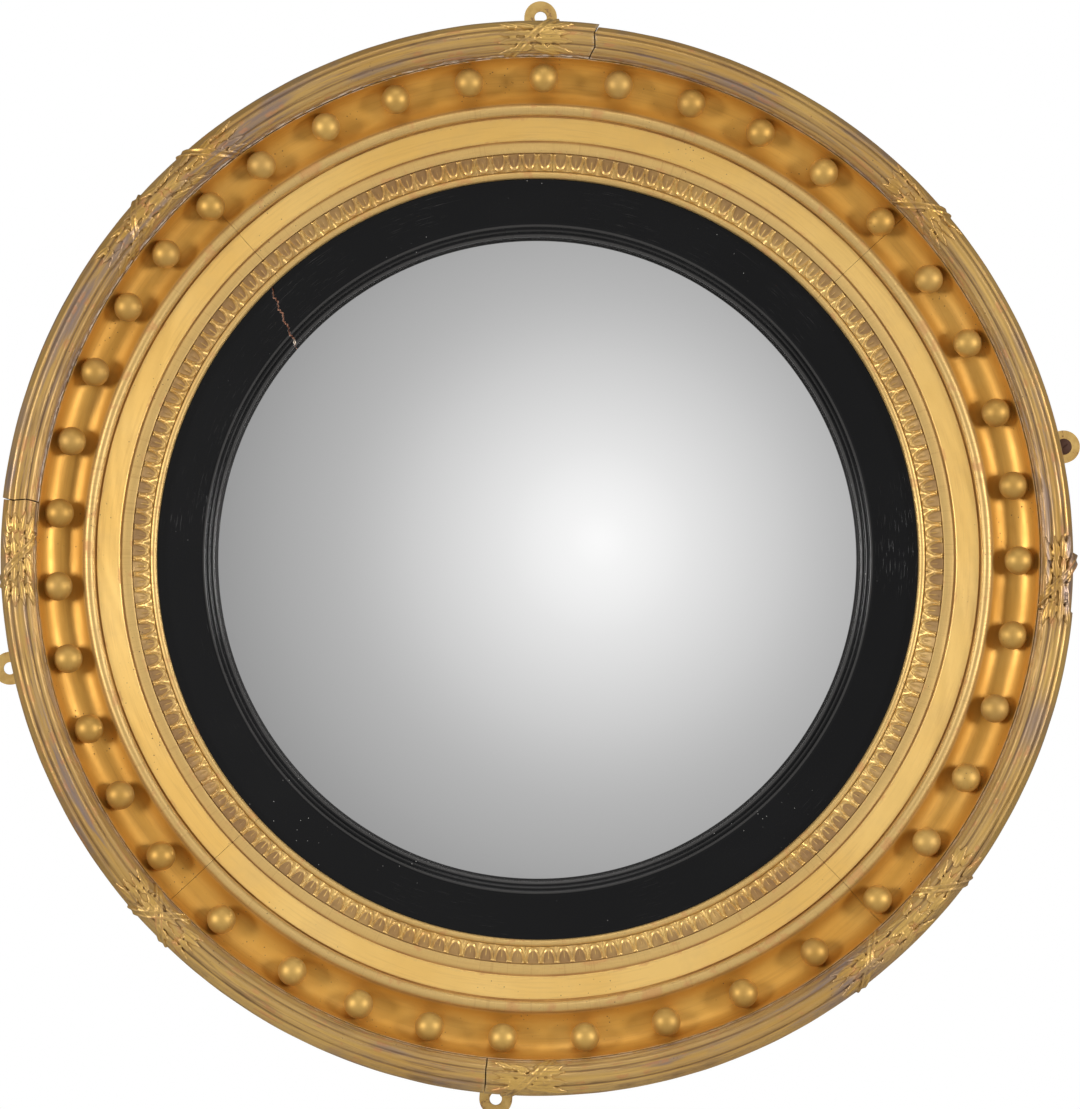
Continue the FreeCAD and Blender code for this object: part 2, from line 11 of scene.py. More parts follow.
import bpy
import numpy as np
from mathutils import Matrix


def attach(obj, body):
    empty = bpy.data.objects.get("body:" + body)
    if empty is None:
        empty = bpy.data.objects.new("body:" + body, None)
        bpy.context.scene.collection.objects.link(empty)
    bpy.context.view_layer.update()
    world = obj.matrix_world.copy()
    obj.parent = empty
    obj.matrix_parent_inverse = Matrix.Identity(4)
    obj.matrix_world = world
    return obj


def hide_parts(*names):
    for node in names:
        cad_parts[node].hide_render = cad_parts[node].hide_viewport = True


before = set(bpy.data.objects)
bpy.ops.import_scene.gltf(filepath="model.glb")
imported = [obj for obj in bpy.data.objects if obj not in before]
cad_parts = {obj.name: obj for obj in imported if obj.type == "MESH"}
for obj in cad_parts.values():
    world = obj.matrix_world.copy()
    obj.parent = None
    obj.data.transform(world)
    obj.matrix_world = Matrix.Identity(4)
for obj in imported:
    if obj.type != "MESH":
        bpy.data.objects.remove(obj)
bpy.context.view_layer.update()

print("CAD nodes:", len(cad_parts))

# %% [markdown]
# ## Sizes
#
# The mouldings are given as widths from the rim inwards and as rises from the wall, the way a
# turner marks out a face plate. The radii and depths that the pieces need are sums of them.

# %% Sizes of the mouldings
MM = 0.001
outer_radius = 305.0
RIM_WIDTH = 19.7
half_rim = RIM_WIDTH / 2
HOLLOW_SAG = 9.0
rim_inner = outer_radius - RIM_WIDTH
rim_middle = outer_radius - half_rim
hollow_outer = rim_inner - 0.4
hollow_inner = rim_inner - 26.2
bead_inner = hollow_inner - 6.5
frieze_outer = bead_inner - 1.0
frieze_inner = frieze_outer - 12.9
band_inner = frieze_inner - 6.7
tongue_inner = band_inner - 9.7
sight = tongue_inner - 4.0
slip_reed = sight - 25.3
glass_sight = slip_reed - 7.5
slip_outer = sight + 6.0
rebate = slip_outer + 0.1
glass_radius = glass_sight + 6.0
side_radius = outer_radius - 9.0

back_depth = 20.0
slip_front = back_depth + 7.5
slip_back = slip_front - 9.4
sight_depth = slip_front + 3.5
seat_depth = sight_depth + 5.6
band_depth = seat_depth + 1.8
frieze_inner_depth = band_depth + 1.6
frieze_outer_depth = frieze_inner_depth + 3.6
bead_depth = frieze_outer_depth + 1.6
lip_depth = bead_depth + 6.3
rim_seat_depth = lip_depth - 4.5
rim_axis_depth = rim_seat_depth + 6.0

QUARTERS = ("upper_left", "lower_left", "lower_right", "upper_right")
SIDES = ("top", "left", "bottom", "right")
print("rim crown is about", round(rim_axis_depth + half_rim, 1), "mm from the wall")

# %% [markdown]
# ## The camera
#
# The photograph was taken from about two and a half metres with a long lens, a little to the
# left of the mirror and a little below its middle. The camera comes first, because everything
# else is judged through it.

# %% Camera
IMAGE_WIDTH, IMAGE_HEIGHT = 1080, 1109
VIEW_DISTANCE = 2.45
VIEW_LEFT = math.radians(1.7)
VIEW_BELOW = math.radians(2.6)
MM_PER_PIXEL = 0.5674
RIM_PLANE = -0.054
axis_pixel = (540.0, 555.7)


def aim_camera():
    """Camera on a sphere round the rim's middle, aimed so that this point lands on its pixel."""
    data = bpy.data.cameras.new("photo_camera")
    camera = bpy.data.objects.new("photo_camera", data)
    bpy.context.scene.collection.objects.link(camera)
    right = (IMAGE_WIDTH / 2 - axis_pixel[0]) * MM_PER_PIXEL * MM
    up = (axis_pixel[1] - IMAGE_HEIGHT / 2) * MM_PER_PIXEL * MM
    camera.rotation_euler = (math.pi / 2 + VIEW_BELOW, 0.0, -VIEW_LEFT)
    turn = camera.rotation_euler.to_matrix()
    target = turn.col[0] * right + turn.col[1] * up
    target.y += RIM_PLANE
    camera.location = target + turn.col[2] * VIEW_DISTANCE
    data.sensor_width = 36.0
    data.lens = data.sensor_width * VIEW_DISTANCE / (IMAGE_HEIGHT * MM_PER_PIXEL * MM)
    data.clip_end = 100.0
    bpy.context.scene.camera = camera
    return camera


camera = aim_camera()
print("lens", round(camera.data.lens, 1), "mm at", [round(v, 3) for v in camera.location])

# %% [markdown]
# ## Nodes by hand
#
# The world and each finish are small networks of nodes. `Wiring` keeps the code that joins them
# short: each method adds one node, joins its inputs and gives back its output.

# %% Wiring
def colour(red, green, blue):
    """Linear RGBA from the 0-255 values that a painter would pick on screen."""
    def linear(value):
        value /= 255
        return value / 12.92 if value <= 0.04045 else ((value + 0.055) / 1.055) ** 2.4
    return (linear(red), linear(green), linear(blue), 1.0)


class Wiring:
    """Adds nodes to one tree and joins them up."""

    def __init__(self, tree):
        self.tree = tree

    def add(self, kind, **settings):
        node = self.tree.nodes.new(kind)
        for setting, value in settings.items():
            setattr(node, setting, value)
        return node

    def join(self, socket, value):
        if isinstance(value, bpy.types.NodeSocket):
            self.tree.links.new(value, socket)
        else:
            socket.default_value = value

    def fill(self, sockets, **values):
        """Join values to sockets by label, with _ in place of a space."""
        for label, value in values.items():
            self.join(sockets[label.replace("_", " ")], value)

    def calc(self, operation, first, second=0.0, clamp=False):
        node = self.add("ShaderNodeMath", operation=operation, use_clamp=clamp)
        self.join(node.inputs[0], first)
        self.join(node.inputs[1], second)
        return node.outputs[0]

    def times(self, first, second, clamp=False):
        return self.calc("MULTIPLY", first, second, clamp)

    def plus(self, first, second, clamp=False):
        return self.calc("ADD", first, second, clamp)

    def vector(self, operation, first, second=(0, 0, 0), scale=1.0):
        node = self.add("ShaderNodeVectorMath", operation=operation)
        self.join(node.inputs[0], first)
        if operation == "SCALE":
            self.join(node.inputs["Scale"], scale)
        else:
            self.join(node.inputs[1], second)
        return node.outputs["Value" if operation in ("LENGTH", "DOT_PRODUCT") else "Vector"]

    def mix(self, share, first, second, blend="MIX"):
        node = self.add("ShaderNodeMix", data_type="RGBA", blend_type=blend)
        self.join(node.inputs[0], share)
        self.join(node.inputs[6], first)
        self.join(node.inputs[7], second)
        return node.outputs[2]

    def step(self, value, low, high, start=0.0, end=1.0):
        """Smooth step from start to end as value goes from low to high."""
        node = self.add("ShaderNodeMapRange", interpolation_type="SMOOTHSTEP")
        for index, item in enumerate((value, low, high, start, end)):
            self.join(node.inputs[index], item)
        return node.outputs[0]

    def noise(self, vector, scale, detail=3.0, roughness=0.55):
        node = self.add("ShaderNodeTexNoise")
        self.fill(node.inputs, Vector=vector, Scale=scale, Detail=detail, Roughness=roughness)
        return node.outputs["Fac"]

    def cells(self, vector, scale, feature="F1"):
        node = self.add("ShaderNodeTexVoronoi", feature=feature)
        self.fill(node.inputs, Vector=vector, Scale=scale)
        return node.outputs["Distance"]

    def object_point(self):
        return self.add("ShaderNodeTexCoord").outputs["Object"]

    def mark(self, name):
        return self.add("ShaderNodeAttribute", attribute_name=name).outputs["Fac"]

    def group(self, group, **inputs):
        node = self.add("ShaderNodeGroup", node_tree=group)
        self.fill(node.inputs, **inputs)
        return node.outputs


print("a mid grey of 128 is", round(colour(128, 128, 128)[0], 3), "in linear light")

# %% [markdown]
# ## Light
#
# Two soft lights stand far out to the left and right, fifty degrees from the mirror's axis, so
# each ball throws one shadow to either side. A weaker light hangs above. The convex glass shows
# whatever lies within about thirty-five degrees of the camera, and the lights stand outside that
# cone. Inside it the glass shows a pale field that is brightest near the camera and falls off
# smoothly, which the world gives to glossy rays only.

# %% World
BRIGHT_RIGHT = math.radians(8.1)
BRIGHT_UP = math.radians(4.3)
DIFFUSE_LEVEL = 0.24
field_stops = ((0.0, 1.0), (3.0, 0.965), (10.0, 0.83), (20.0, 0.62), (28.0, 0.475), (37.0, 0.39),
               (48.0, 0.24), (180.0, 0.2))


def make_world():
    """White to the camera, even light to matt surfaces, a field that fades with angle to glossy ones."""
    world = bpy.data.worlds.new("studio")
    world.use_nodes = True
    world.node_tree.nodes.clear()
    wire = Wiring(world.node_tree)
    brightest = (math.sin(BRIGHT_RIGHT), -math.cos(BRIGHT_RIGHT) * math.cos(BRIGHT_UP), math.sin(BRIGHT_UP))
    direction = wire.add("ShaderNodeTexCoord").outputs["Generated"]
    angle = wire.calc("ARCCOSINE", wire.vector("DOT_PRODUCT", direction, brightest))
    field = wire.add("ShaderNodeValToRGB")
    wire.join(field.inputs["Fac"], wire.calc("DIVIDE", angle, math.pi))
    field.color_ramp.interpolation = "B_SPLINE"
    stops = field.color_ramp.elements
    while len(stops) < len(field_stops):
        stops.new(0.5)
    for stop, (degrees, level) in zip(stops, field_stops):
        stop.position = degrees / 180.0
        stop.color = (level, level, level, 1.0)
    even = (DIFFUSE_LEVEL, DIFFUSE_LEVEL, DIFFUSE_LEVEL, 1.0)
    path = wire.add("ShaderNodeLightPath").outputs
    light = wire.mix(path["Is Glossy Ray"], even, field.outputs["Color"])
    seen = wire.calc("MAXIMUM", path["Is Camera Ray"], path["Is Transmission Ray"])
    background = wire.add("ShaderNodeBackground")
    wire.join(background.inputs["Color"], wire.mix(seen, light, (1.0, 1.0, 1.0, 1.0)))
    output = wire.add("ShaderNodeOutputWorld")
    wire.join(output.inputs["Surface"], background.outputs[0])
    bpy.context.scene.world = world


make_world()
bpy.context.scene.view_settings.view_transform = "Standard"
print("world made with", len(field_stops), "steps of brightness")

# %% Soft lights
soft_lights = {
    "left_softbox": ((-2.2, -1.78, 0.15), (0.45, 0.8), 52.0),
    "right_softbox": ((2.2, -1.78, 0.15), (0.45, 0.8), 52.0),
    "top_softbox": ((0.0, -1.5, 2.2), (1.6, 0.7), 15.0),
}


def add_softbox(name, place, size, power):
    """Rectangular lamp aimed at the middle of the mirror."""
    data = bpy.data.lights.new(name, "AREA")
    data.shape = "RECTANGLE"
    data.size, data.size_y = size
    data.energy = power
    lamp = bpy.data.objects.new(name, data)
    bpy.context.scene.collection.objects.link(lamp)
    lamp.location = place
    lamp.rotation_euler = (-lamp.location).to_track_quat("-Z", "Y").to_euler()


for lamp_name, (place, size, power) in soft_lights.items():
    add_softbox(lamp_name, place, size, power)
print("lamps:", ", ".join(soft_lights))

# %% [markdown]
# ## From arrays to meshes
#
# Nearly everything here is a section carried round the ring, or a raised pattern on such a
# section. So the helpers work on whole arrays: a grid of points, the quads between them, and a
# few numbers per point that the finishes read later. A closed mesh whose volume comes out
# negative is inside out, and gets its faces turned round.

# %% Grid helpers
SHARP_ANGLE = math.radians(50)


def on_ring(radius, depth, angle):
    """x = r cos a, y = -d, z = r sin a, with a in degrees; millimetres in, metres out."""
    turn = np.radians(angle)
    x, y, z = np.broadcast_arrays(radius * np.cos(turn), -depth, radius * np.sin(turn))
    return np.stack((x, y, z), axis=-1) * MM


def quads(rows, columns, wrap_rows=False, wrap_columns=False):
    """Point numbers of each quad of a grid of rows x columns points, counted row by row."""
    row = np.arange(rows if wrap_rows else rows - 1)[:, None]
    column = np.arange(columns if wrap_columns else columns - 1)[None, :]
    next_row = (row + 1) % rows
    next_column = (column + 1) % columns
    corners = (row * columns + column, row * columns + next_column,
               next_row * columns + next_column, next_row * columns + column)
    return np.stack(np.broadcast_arrays(*corners), axis=-1).reshape(-1, 4)


def signed_volume(points, faces):
    """Sum over quads of the tetrahedra from the origin: a.(b x c) / 6 for both halves."""
    a, b, c, d = (points[faces[:, index]] for index in range(4))
    halves = np.einsum("ij,ij->i", a, np.cross(b, c)) + np.einsum("ij,ij->i", a, np.cross(c, d))
    return halves.sum() / 6


def add_piece(name, points, faces, caps=(), marks=None, triangles=None):
    """Mesh object from points, quads, triangles and end faces, with a number per point for each mark."""
    points = points.reshape(-1, 3)
    halves = [np.stack((np.full(len(cap) - 2, cap[0]), cap[1:-1], cap[2:], cap[2:]), axis=-1)
              for cap in caps]
    polygons = faces.tolist() + [cap.tolist() for cap in caps]
    if triangles is not None:
        halves.append(np.concatenate((triangles, triangles[:, 2:]), axis=1))
        polygons += triangles.tolist()
    whole = np.concatenate([faces] + halves)
    if signed_volume(points, whole) < 0:
        polygons = [polygon[::-1] for polygon in polygons]
    mesh = bpy.data.meshes.new(name)
    mesh.from_pydata(points.tolist(), [], polygons)
    mesh.shade_smooth()
    mesh.set_sharp_from_angle(angle=SHARP_ANGLE)
    for mark, values in (marks or {}).items():
        layer = mesh.attributes.new(mark, "FLOAT", "POINT")
        layer.data.foreach_set("value", np.ascontiguousarray(values, np.float32).ravel())
    piece = bpy.data.objects.new(name, mesh)
    bpy.context.scene.collection.objects.link(piece)
    return piece


def finish_piece(piece, material, slot, *nodes):
    """Material, place on the frame and the CAD nodes that the piece stands for."""
    piece.data.materials.append(material)
    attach(piece, "root")
    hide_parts(*nodes)
    print(piece.name, "has", len(piece.data.polygons), "faces")


# %% Hand-made unevenness
def wander(angle, seed, waves=(2, 5, 9, 16, 27)):
    """Sum of a few sine waves round the ring, of falling height and seeded phase; about -1 to 1."""
    phases = np.random.default_rng(seed).uniform(0, 2 * math.pi, len(waves))
    total = sum(np.sin(np.radians(angle) * wave + phase) / math.sqrt(1 + index)
                for index, (wave, phase) in enumerate(zip(waves, phases)))
    return total / 2.2


def turn_between(first, second):
    """First angle less second, in degrees from -180 to 180."""
    return (first - second + 180) % 360 - 180


def smooth_step(value, low, high):
    """0 below low, 1 above high, and 3t^2 - 2t^3 between."""
    t = np.clip((value - low) / (high - low), 0, 1)
    return t * t * (3 - 2 * t)


def bump(value, centre, width):
    """Bell curve exp(-((value - centre) / width)^2)."""
    return np.exp(-((value - centre) / width) ** 2)


# %% [markdown]
# ## Sections
#
# Gesso is brushed on in many coats and rounds every corner of the turned wood. So a section is
# first drawn with straight runs and arcs, then its points are averaged along its length. The
# difference between a little averaging and a lot of it tells proud edges, which wear, from
# hollows, which hold dirt. That number goes with each point as its relief.

# %% Drawing a section
FINE = 0.25


def straight(start, end):
    """Evenly spaced points from start up to, but not including, end."""
    start, end = np.array(start, float), np.array(end, float)
    count = max(1, round(np.linalg.norm(end - start) / FINE))
    return start + (end - start) * (np.arange(count) / count)[:, None]


def arched(start, end, height):
    """Circular arc from start to end that rises by height to the right of its direction."""
    start, end = np.array(start, float), np.array(end, float)
    chord = end - start
    length = np.linalg.norm(chord)
    half_turn = 2 * math.atan2(2 * height, length)
    radius = length / 2 / math.sin(half_turn)
    along = chord / length
    side = np.array((along[1], -along[0]))
    count = max(2, round(abs(2 * half_turn * radius) / FINE))
    turn = half_turn * (2 * np.arange(count) / count - 1)
    offsets = np.outer(radius * np.sin(turn), along)
    offsets += np.outer(radius * np.cos(turn) - radius + height, side)
    return (start + end) / 2 + offsets


def closed_section(corners):
    """Runs from each corner (radius, depth, rise) to the next: straight, or an arc that rises so far."""
    return np.concatenate([
        arched(start[:2], end[:2], start[2]) if start[2] else straight(start[:2], end[:2])
        for start, end in zip(corners, corners[1:] + corners[:1])])


def averaged(section, reach):
    """Each point of a closed, evenly spaced section becomes a bell-weighted mean of its neighbours."""
    count = len(section)
    steps = np.minimum(np.arange(count), count - np.arange(count)) * FINE
    weights = np.exp(-((steps / reach) ** 2) / 2)
    weights /= weights.sum()
    spectrum = np.fft.fft(section, axis=0) * np.fft.fft(weights)[:, None]
    return np.fft.ifft(spectrum, axis=0).real


def relief_of(section, near=0.3, far=1.6):
    """How far each point stands proud of its surroundings, in mm, positive on proud edges."""
    fine, broad = averaged(section, near), averaged(section, far)
    along = np.roll(fine, -1, axis=0) - np.roll(fine, 1, axis=0)
    normal = np.stack((along[:, 1], -along[:, 0]), axis=-1)
    normal /= np.linalg.norm(normal, axis=1)[:, None]
    area = np.sum(fine[:, 0] * np.roll(fine[:, 1], -1) - np.roll(fine[:, 0], -1) * fine[:, 1])
    return np.einsum("ij,ij->i", fine - broad, normal) * np.sign(area)


def thinned(section, hidden, every=2, hidden_every=14):
    """Numbers of the points to keep: every few where the section shows, fewer where it is hidden."""
    index = np.arange(len(section))
    return np.flatnonzero(np.where(hidden, index % hidden_every == 0, index % every == 0))


def swept(name, radius, depth, angle, marks):
    """Closed sections, one to a row, joined along the ring and capped at both ends."""
    rows, columns = radius.shape
    first = np.arange(columns)[::-1]
    last = np.arange(columns) + (rows - 1) * columns
    spread = {mark: np.broadcast_to(values, radius.shape) for mark, values in marks.items()}
    points = on_ring(radius, depth, angle)
    return add_piece(name, points, quads(rows, columns, wrap_columns=True), (first, last), spread)


def segment(name, section, angles, marks, reshape):
    """One section carried along an arc and reshaped: point (i, j) is section point j at angle i."""
    radius = np.broadcast_to(section[:, 0], (len(angles), len(section)))
    depth = np.broadcast_to(section[:, 1], radius.shape)
    angle = np.broadcast_to(angles[:, None], radius.shape)
    return swept(name, *reshape(radius, depth, angle), marks)


# %% [markdown]
# ## Finishes
#
# Each kind of finish is a node group with inputs for its colours and amounts. A group hands back
# colours, masks and heights, and the surface shader stays in the material.

# %% New groups
SOCKET_KINDS = {float: "NodeSocketFloat", tuple: "NodeSocketColor", list: "NodeSocketVector"}


def new_group(name, inputs, outputs):
    """Node group with inputs {label: default} and outputs {label: socket type}."""
    tree = bpy.data.node_groups.new(name, "ShaderNodeTree")
    for label, value in inputs.items():
        socket = tree.interface.new_socket(label, in_out="INPUT", socket_type=SOCKET_KINDS[type(value)])
        socket.default_value = value
    for label, kind in outputs.items():
        tree.interface.new_socket(label, in_out="OUTPUT", socket_type="NodeSocket" + kind)
    wiring = Wiring(tree)
    return tree, wiring, wiring.add("NodeGroupInput").outputs, wiring.add("NodeGroupOutput").inputs


# %% [markdown]
# ### Where am I on the ring?
#
# Brush marks, dirt and cracks follow the ring or cross it. Object coordinates are turned into a
# direction from the middle, which is the same all across a section, and a radius and a depth,
# which are the same all along the ring. Stretching these differently gives streaks that run
# round the frame, and leaving the radius out gives cracks that cross it.

# %% Ring coordinates group
def make_ring_place():
    """Radius = |(x, z)|, depth = -y, direction = (x, 0, z) / radius, in metres."""
    tree, wire, _, out = new_group("Ring place", {}, {
        "Point": "Vector", "Direction": "Vector", "Radius": "Float", "Depth": "Float"})
    point = wire.object_point()
    flat = wire.vector("MULTIPLY", point, (1.0, 0.0, 1.0))
    split = wire.add("ShaderNodeSeparateXYZ")
    wire.join(split.inputs[0], point)
    wire.fill(out, Point=point, Direction=wire.vector("NORMALIZE", flat),
              Radius=wire.vector("LENGTH", flat), Depth=wire.times(split.outputs["Y"], -1.0))
    return tree


ring_place = make_ring_place()


def make_streaks():
    """Noise stretched along the ring: (direction x along) + (radius + depth) x across."""
    tree, wire, given, out = new_group(
        "Ring streaks", {"Along": 6.0, "Across": 500.0, "Detail": 4.0}, {"Value": "Float"})
    place = wire.group(ring_place)
    section = wire.plus(place["Radius"], wire.times(place["Depth"], 0.8))
    lift = wire.add("ShaderNodeCombineXYZ")
    wire.join(lift.inputs["Y"], wire.times(section, given["Across"]))
    turn = wire.vector("SCALE", place["Direction"], scale=given["Along"])
    stretched = wire.vector("ADD", turn, lift.outputs[0])
    wire.join(out["Value"], wire.noise(stretched, 1.0, given["Detail"], 0.6))
    return tree


ring_streaks = make_streaks()
print("groups:", [group.name for group in bpy.data.node_groups])

# %% [markdown]
# ### Old gilding
#
# Gold leaf lies on a coloured clay, called bole, over white gesso. Where a hand or a duster
# has rubbed the proud edges the leaf turns grey and thin, then the clay shows, and where the
# gesso has chipped it is white. Dirt stays in the hollows and along the reeds. The hollow of the
# frame is also painted a darker, more orange gold, as painted shade. The frame, the rim, the
# balls and the ornament all have this finish, with different amounts of each effect, so it is
# one node group.

# %% Old gilding group
GESSO = colour(222, 208, 192)
CLAY = colour(176, 108, 62)
SLATE = colour(124, 108, 104)
PIT = colour(46, 34, 26)


def make_old_gilding():
    """Colour, roughness, metal and height of worn gold leaf on gesso."""
    tree, wire, given, out = new_group("Old gilding", {
        "Leaf": (0.8, 0.5, 0.2, 1.0), "Warm": (0.8, 0.4, 0.1, 1.0),
        "Thin": (0.5, 0.4, 0.3, 1.0), "Dirt": (0.1, 0.06, 0.04, 1.0), "Rich": (0.6, 0.3, 0.1, 1.0),
        "Relief": 0.0, "Rubbed": 0.0, "Chalk": 0.0, "Deep": 0.0, "Recess Dirt": 0.6, "Edge Wear": 0.5,
        "Streaks": 0.3, "Slate": 0.0, "Crazing": 0.0, "Gloss": 0.4, "Metal": 0.6,
    }, {"Color": "Color", "Roughness": "Float", "Metallic": "Float", "Height": "Float"})
    place = wire.group(ring_place)
    point = place["Point"]

    patches = wire.noise(point, 26.0, 4.0, 0.6)
    cloud = wire.noise(point, 9.0, 3.0, 0.5)
    tone = wire.mix(wire.step(cloud, 0.36, 0.64), given["Leaf"], given["Warm"])
    tone = wire.mix(wire.times(wire.step(patches, 0.45, 0.72), 0.35), tone, given["Thin"])
    tone = wire.mix(given["Rubbed"], tone, given["Thin"])
    # Painted shade: where this mark is set, across the frame's hollow, the gold is painted in a darker, more
    # orange tone in place of the shade that falls there.
    painted_shade = wire.times(given["Deep"], wire.step(patches, 0.2, 0.7, 0.75, 1.0))
    tone = wire.mix(painted_shade, tone, given["Rich"])

    fine_streak = wire.group(ring_streaks, Along=9.0, Across=620.0, Detail=5.0)[0]
    broad_streak = wire.group(ring_streaks, Along=3.0, Across=210.0, Detail=3.0)[0]
    streak = wire.times(wire.step(fine_streak, 0.44, 0.66), wire.step(broad_streak, 0.36, 0.6))
    streak = wire.times(streak, given["Streaks"], clamp=True)
    tone = wire.mix(streak, tone, given["Dirt"])

    long_streak = wire.group(ring_streaks, Along=4.0, Across=150.0, Detail=4.0)[0]
    slate = wire.times(wire.step(long_streak, 0.5, 0.62), wire.step(cloud, 0.42, 0.56))
    slate = wire.times(slate, given["Slate"], clamp=True)
    tone = wire.mix(slate, tone, SLATE)

    hollow = wire.step(wire.times(given["Relief"], -1.0), 0.02, 0.34)
    hollow = wire.times(hollow, wire.step(patches, 0.22, 0.6, 0.45, 1.0))
    hollow = wire.times(hollow, given["Recess Dirt"], clamp=True)
    tone = wire.mix(hollow, tone, given["Dirt"])

    grain = wire.noise(point, 240.0, 4.0, 0.65)
    proud = wire.step(wire.plus(given["Relief"], wire.times(grain, 0.5)), 0.34, 0.52)
    proud = wire.times(proud, given["Edge Wear"], clamp=True)
    tone = wire.mix(wire.times(proud, 0.55), tone, given["Thin"])
    worn_through = wire.times(proud, wire.step(wire.noise(point, 90.0, 3.0), 0.56, 0.66))
    tone = wire.mix(wire.times(worn_through, 0.75), tone, CLAY)

    chip_noise = wire.group(ring_streaks, Along=60.0, Across=900.0, Detail=3.0)[0]
    chips = wire.times(given["Chalk"], wire.step(chip_noise, 0.46, 0.56), clamp=True)
    tone = wire.mix(chips, tone, GESSO)

    crossing = wire.cells(wire.vector("SCALE", place["Direction"], scale=70.0), 1.0, "DISTANCE_TO_EDGE")
    craze = wire.times(wire.step(crossing, 0.03, 0.0), given["Crazing"])
    craze = wire.times(craze, given["Rubbed"], clamp=True)
    tone = wire.mix(wire.times(craze, 0.6), tone, given["Dirt"])

    specks = wire.step(wire.cells(point, 330.0), 0.16, 0.08)
    specks = wire.times(specks, wire.step(wire.noise(point, 34.0, 2.0), 0.55, 0.68))
    tone = wire.mix(wire.times(specks, 0.8), tone, PIT)

    bare = wire.calc("MAXIMUM", wire.calc("MAXIMUM", chips, specks), wire.times(worn_through, 0.7))
    dull = wire.calc("MAXIMUM", bare, wire.calc("MAXIMUM", hollow, streak))
    rough = wire.plus(given["Gloss"], wire.times(dull, 0.3))
    rough = wire.plus(rough, wire.times(wire.step(patches, 0.3, 0.7), 0.08), clamp=True)
    metal = wire.times(given["Metal"], wire.calc("SUBTRACT", 1.0, wire.times(dull, 0.7)))
    height = wire.plus(wire.times(grain, 0.35), wire.times(patches, 0.5))
    height = wire.calc("SUBTRACT", height, wire.times(wire.calc("MAXIMUM", craze, bare), 0.8))
    wire.fill(out, Color=tone, Roughness=rough, Metallic=metal, Height=height)
    return tree


old_gilding = make_old_gilding()


def new_material(name):
    """Material with an empty tree but for the surface shader, and its wiring."""
    material = bpy.data.materials.new(name)
    material.use_nodes = True
    wire = Wiring(material.node_tree)
    return material, wire, material.node_tree.nodes["Principled BSDF"].inputs


def add_bump(wire, surface, height, distance):
    """Bump of a height that is 0 to 1, over a distance in metres."""
    node = wire.add("ShaderNodeBump")
    wire.fill(node.inputs, Strength=1.0, Distance=distance, Height=height)
    wire.join(surface["Normal"], node.outputs["Normal"])


def gilding(name, bump_distance=0.00012, **amounts):
    """One material of old gilding, with its own colours and amounts."""
    material, wire, surface = new_material(name)
    marks = {label: wire.mark(label.lower()) for label in ("Relief", "Rubbed", "Chalk", "Deep")}
    leaf = wire.group(old_gilding, **marks, **amounts)
    wire.fill(surface, Base_Color=leaf["Color"], Roughness=leaf["Roughness"], Metallic=leaf["Metallic"])
    add_bump(wire, surface, leaf["Height"], bump_distance)
    return material


# %% The four gildings
# The darker orange colour given below is the painted shade of the frame's hollow.
frame_gilding = gilding(
    "gilded_frame", Leaf=colour(230, 190, 112), Warm=colour(222, 178, 96), Rich=colour(206, 152, 62),
    Thin=colour(188, 156, 98), Dirt=colour(128, 80, 34), Recess_Dirt=0.75, Edge_Wear=0.5,
    Streaks=0.15, Crazing=0.4, Gloss=0.4)
rim_gilding = gilding(
    "gilded_rim", Leaf=colour(198, 160, 86), Warm=colour(178, 136, 64),
    Thin=colour(170, 138, 92), Dirt=colour(96, 68, 40), Recess_Dirt=0.75, Edge_Wear=0.5,
    Streaks=0.75, Slate=0.8, Crazing=0.0, Gloss=0.36, bump_distance=0.0002)
ornament_gilding = gilding(
    "gilded_ornament", Leaf=colour(216, 180, 108), Warm=colour(198, 156, 82),
    Thin=colour(190, 158, 108), Dirt=colour(124, 90, 52), Recess_Dirt=0.85, Edge_Wear=0.35,
    Streaks=0.15, Slate=0.2, Crazing=0.0, Gloss=0.36, bump_distance=0.0002)
ball_gilding = gilding(
    "gilded_balls", Leaf=colour(196, 158, 84), Warm=colour(180, 138, 64),
    Thin=colour(172, 140, 88), Dirt=colour(104, 72, 34), Recess_Dirt=0.5, Edge_Wear=0.15,
    Streaks=0.05, Gloss=0.52, Metal=0.7)
print("gildings:", [m.name for m in bpy.data.materials])

# %% [markdown]
# ## The front felloes
#
# The gilded ring was turned in one go from felloes, which are curved lengths of pine glued end
# to end. The section runs from the coved outer side over the hollow, a bead, a plain frieze, a
# band and the small bead beside the black slip. Four felloes meet at fine cracks. Each is
# swept from the same section, with a slow unevenness that old gesso has.

# %% Section of the felloes
FELLOE_JOINT = 43.0
HALF_FELLOE_GAP = 0.1
FELLOE_STEPS = 190
LOOSE_LIP = 130.0


def felloe_section():
    """Closed section of the mouldings, evenly spaced, going round from the outer side."""
    return closed_section([
        (side_radius, back_depth, -2.0),
        (outer_radius - 2.5, rim_seat_depth, 0),
        (rim_inner, rim_seat_depth, 0),
        (rim_inner, lip_depth, 0),
        (hollow_outer, lip_depth, -HOLLOW_SAG),
        (hollow_inner, bead_depth, 3.0),
        (bead_inner, bead_depth, 0),
        (bead_inner, frieze_outer_depth - 1.0, 0),
        (frieze_outer, frieze_outer_depth - 1.0, 0),
        (frieze_outer, frieze_outer_depth, 0),
        (frieze_inner, frieze_inner_depth, 0),
        (frieze_inner, band_depth, 0.4),
        (band_inner, band_depth, 0),
        (band_inner, seat_depth, 0),
        (tongue_inner, sight_depth, 1.8),
        (sight, sight_depth, 0),
        (sight, slip_front, 0),
        (rebate, slip_front, 0),
        (rebate, back_depth, 0)])


def felloe_unevenness(radius, depth, angle):
    """The front of the mouldings rises and falls by up to 0.12 mm, in slow waves."""
    free = smooth_step(depth, back_depth, back_depth + 6)
    slow = wander(angle, 11) * 0.07 + wander(angle + radius, 12, (31, 44, 63)) * 0.05
    return radius + free * wander(angle, 13) * 0.06, depth + free * slow, angle


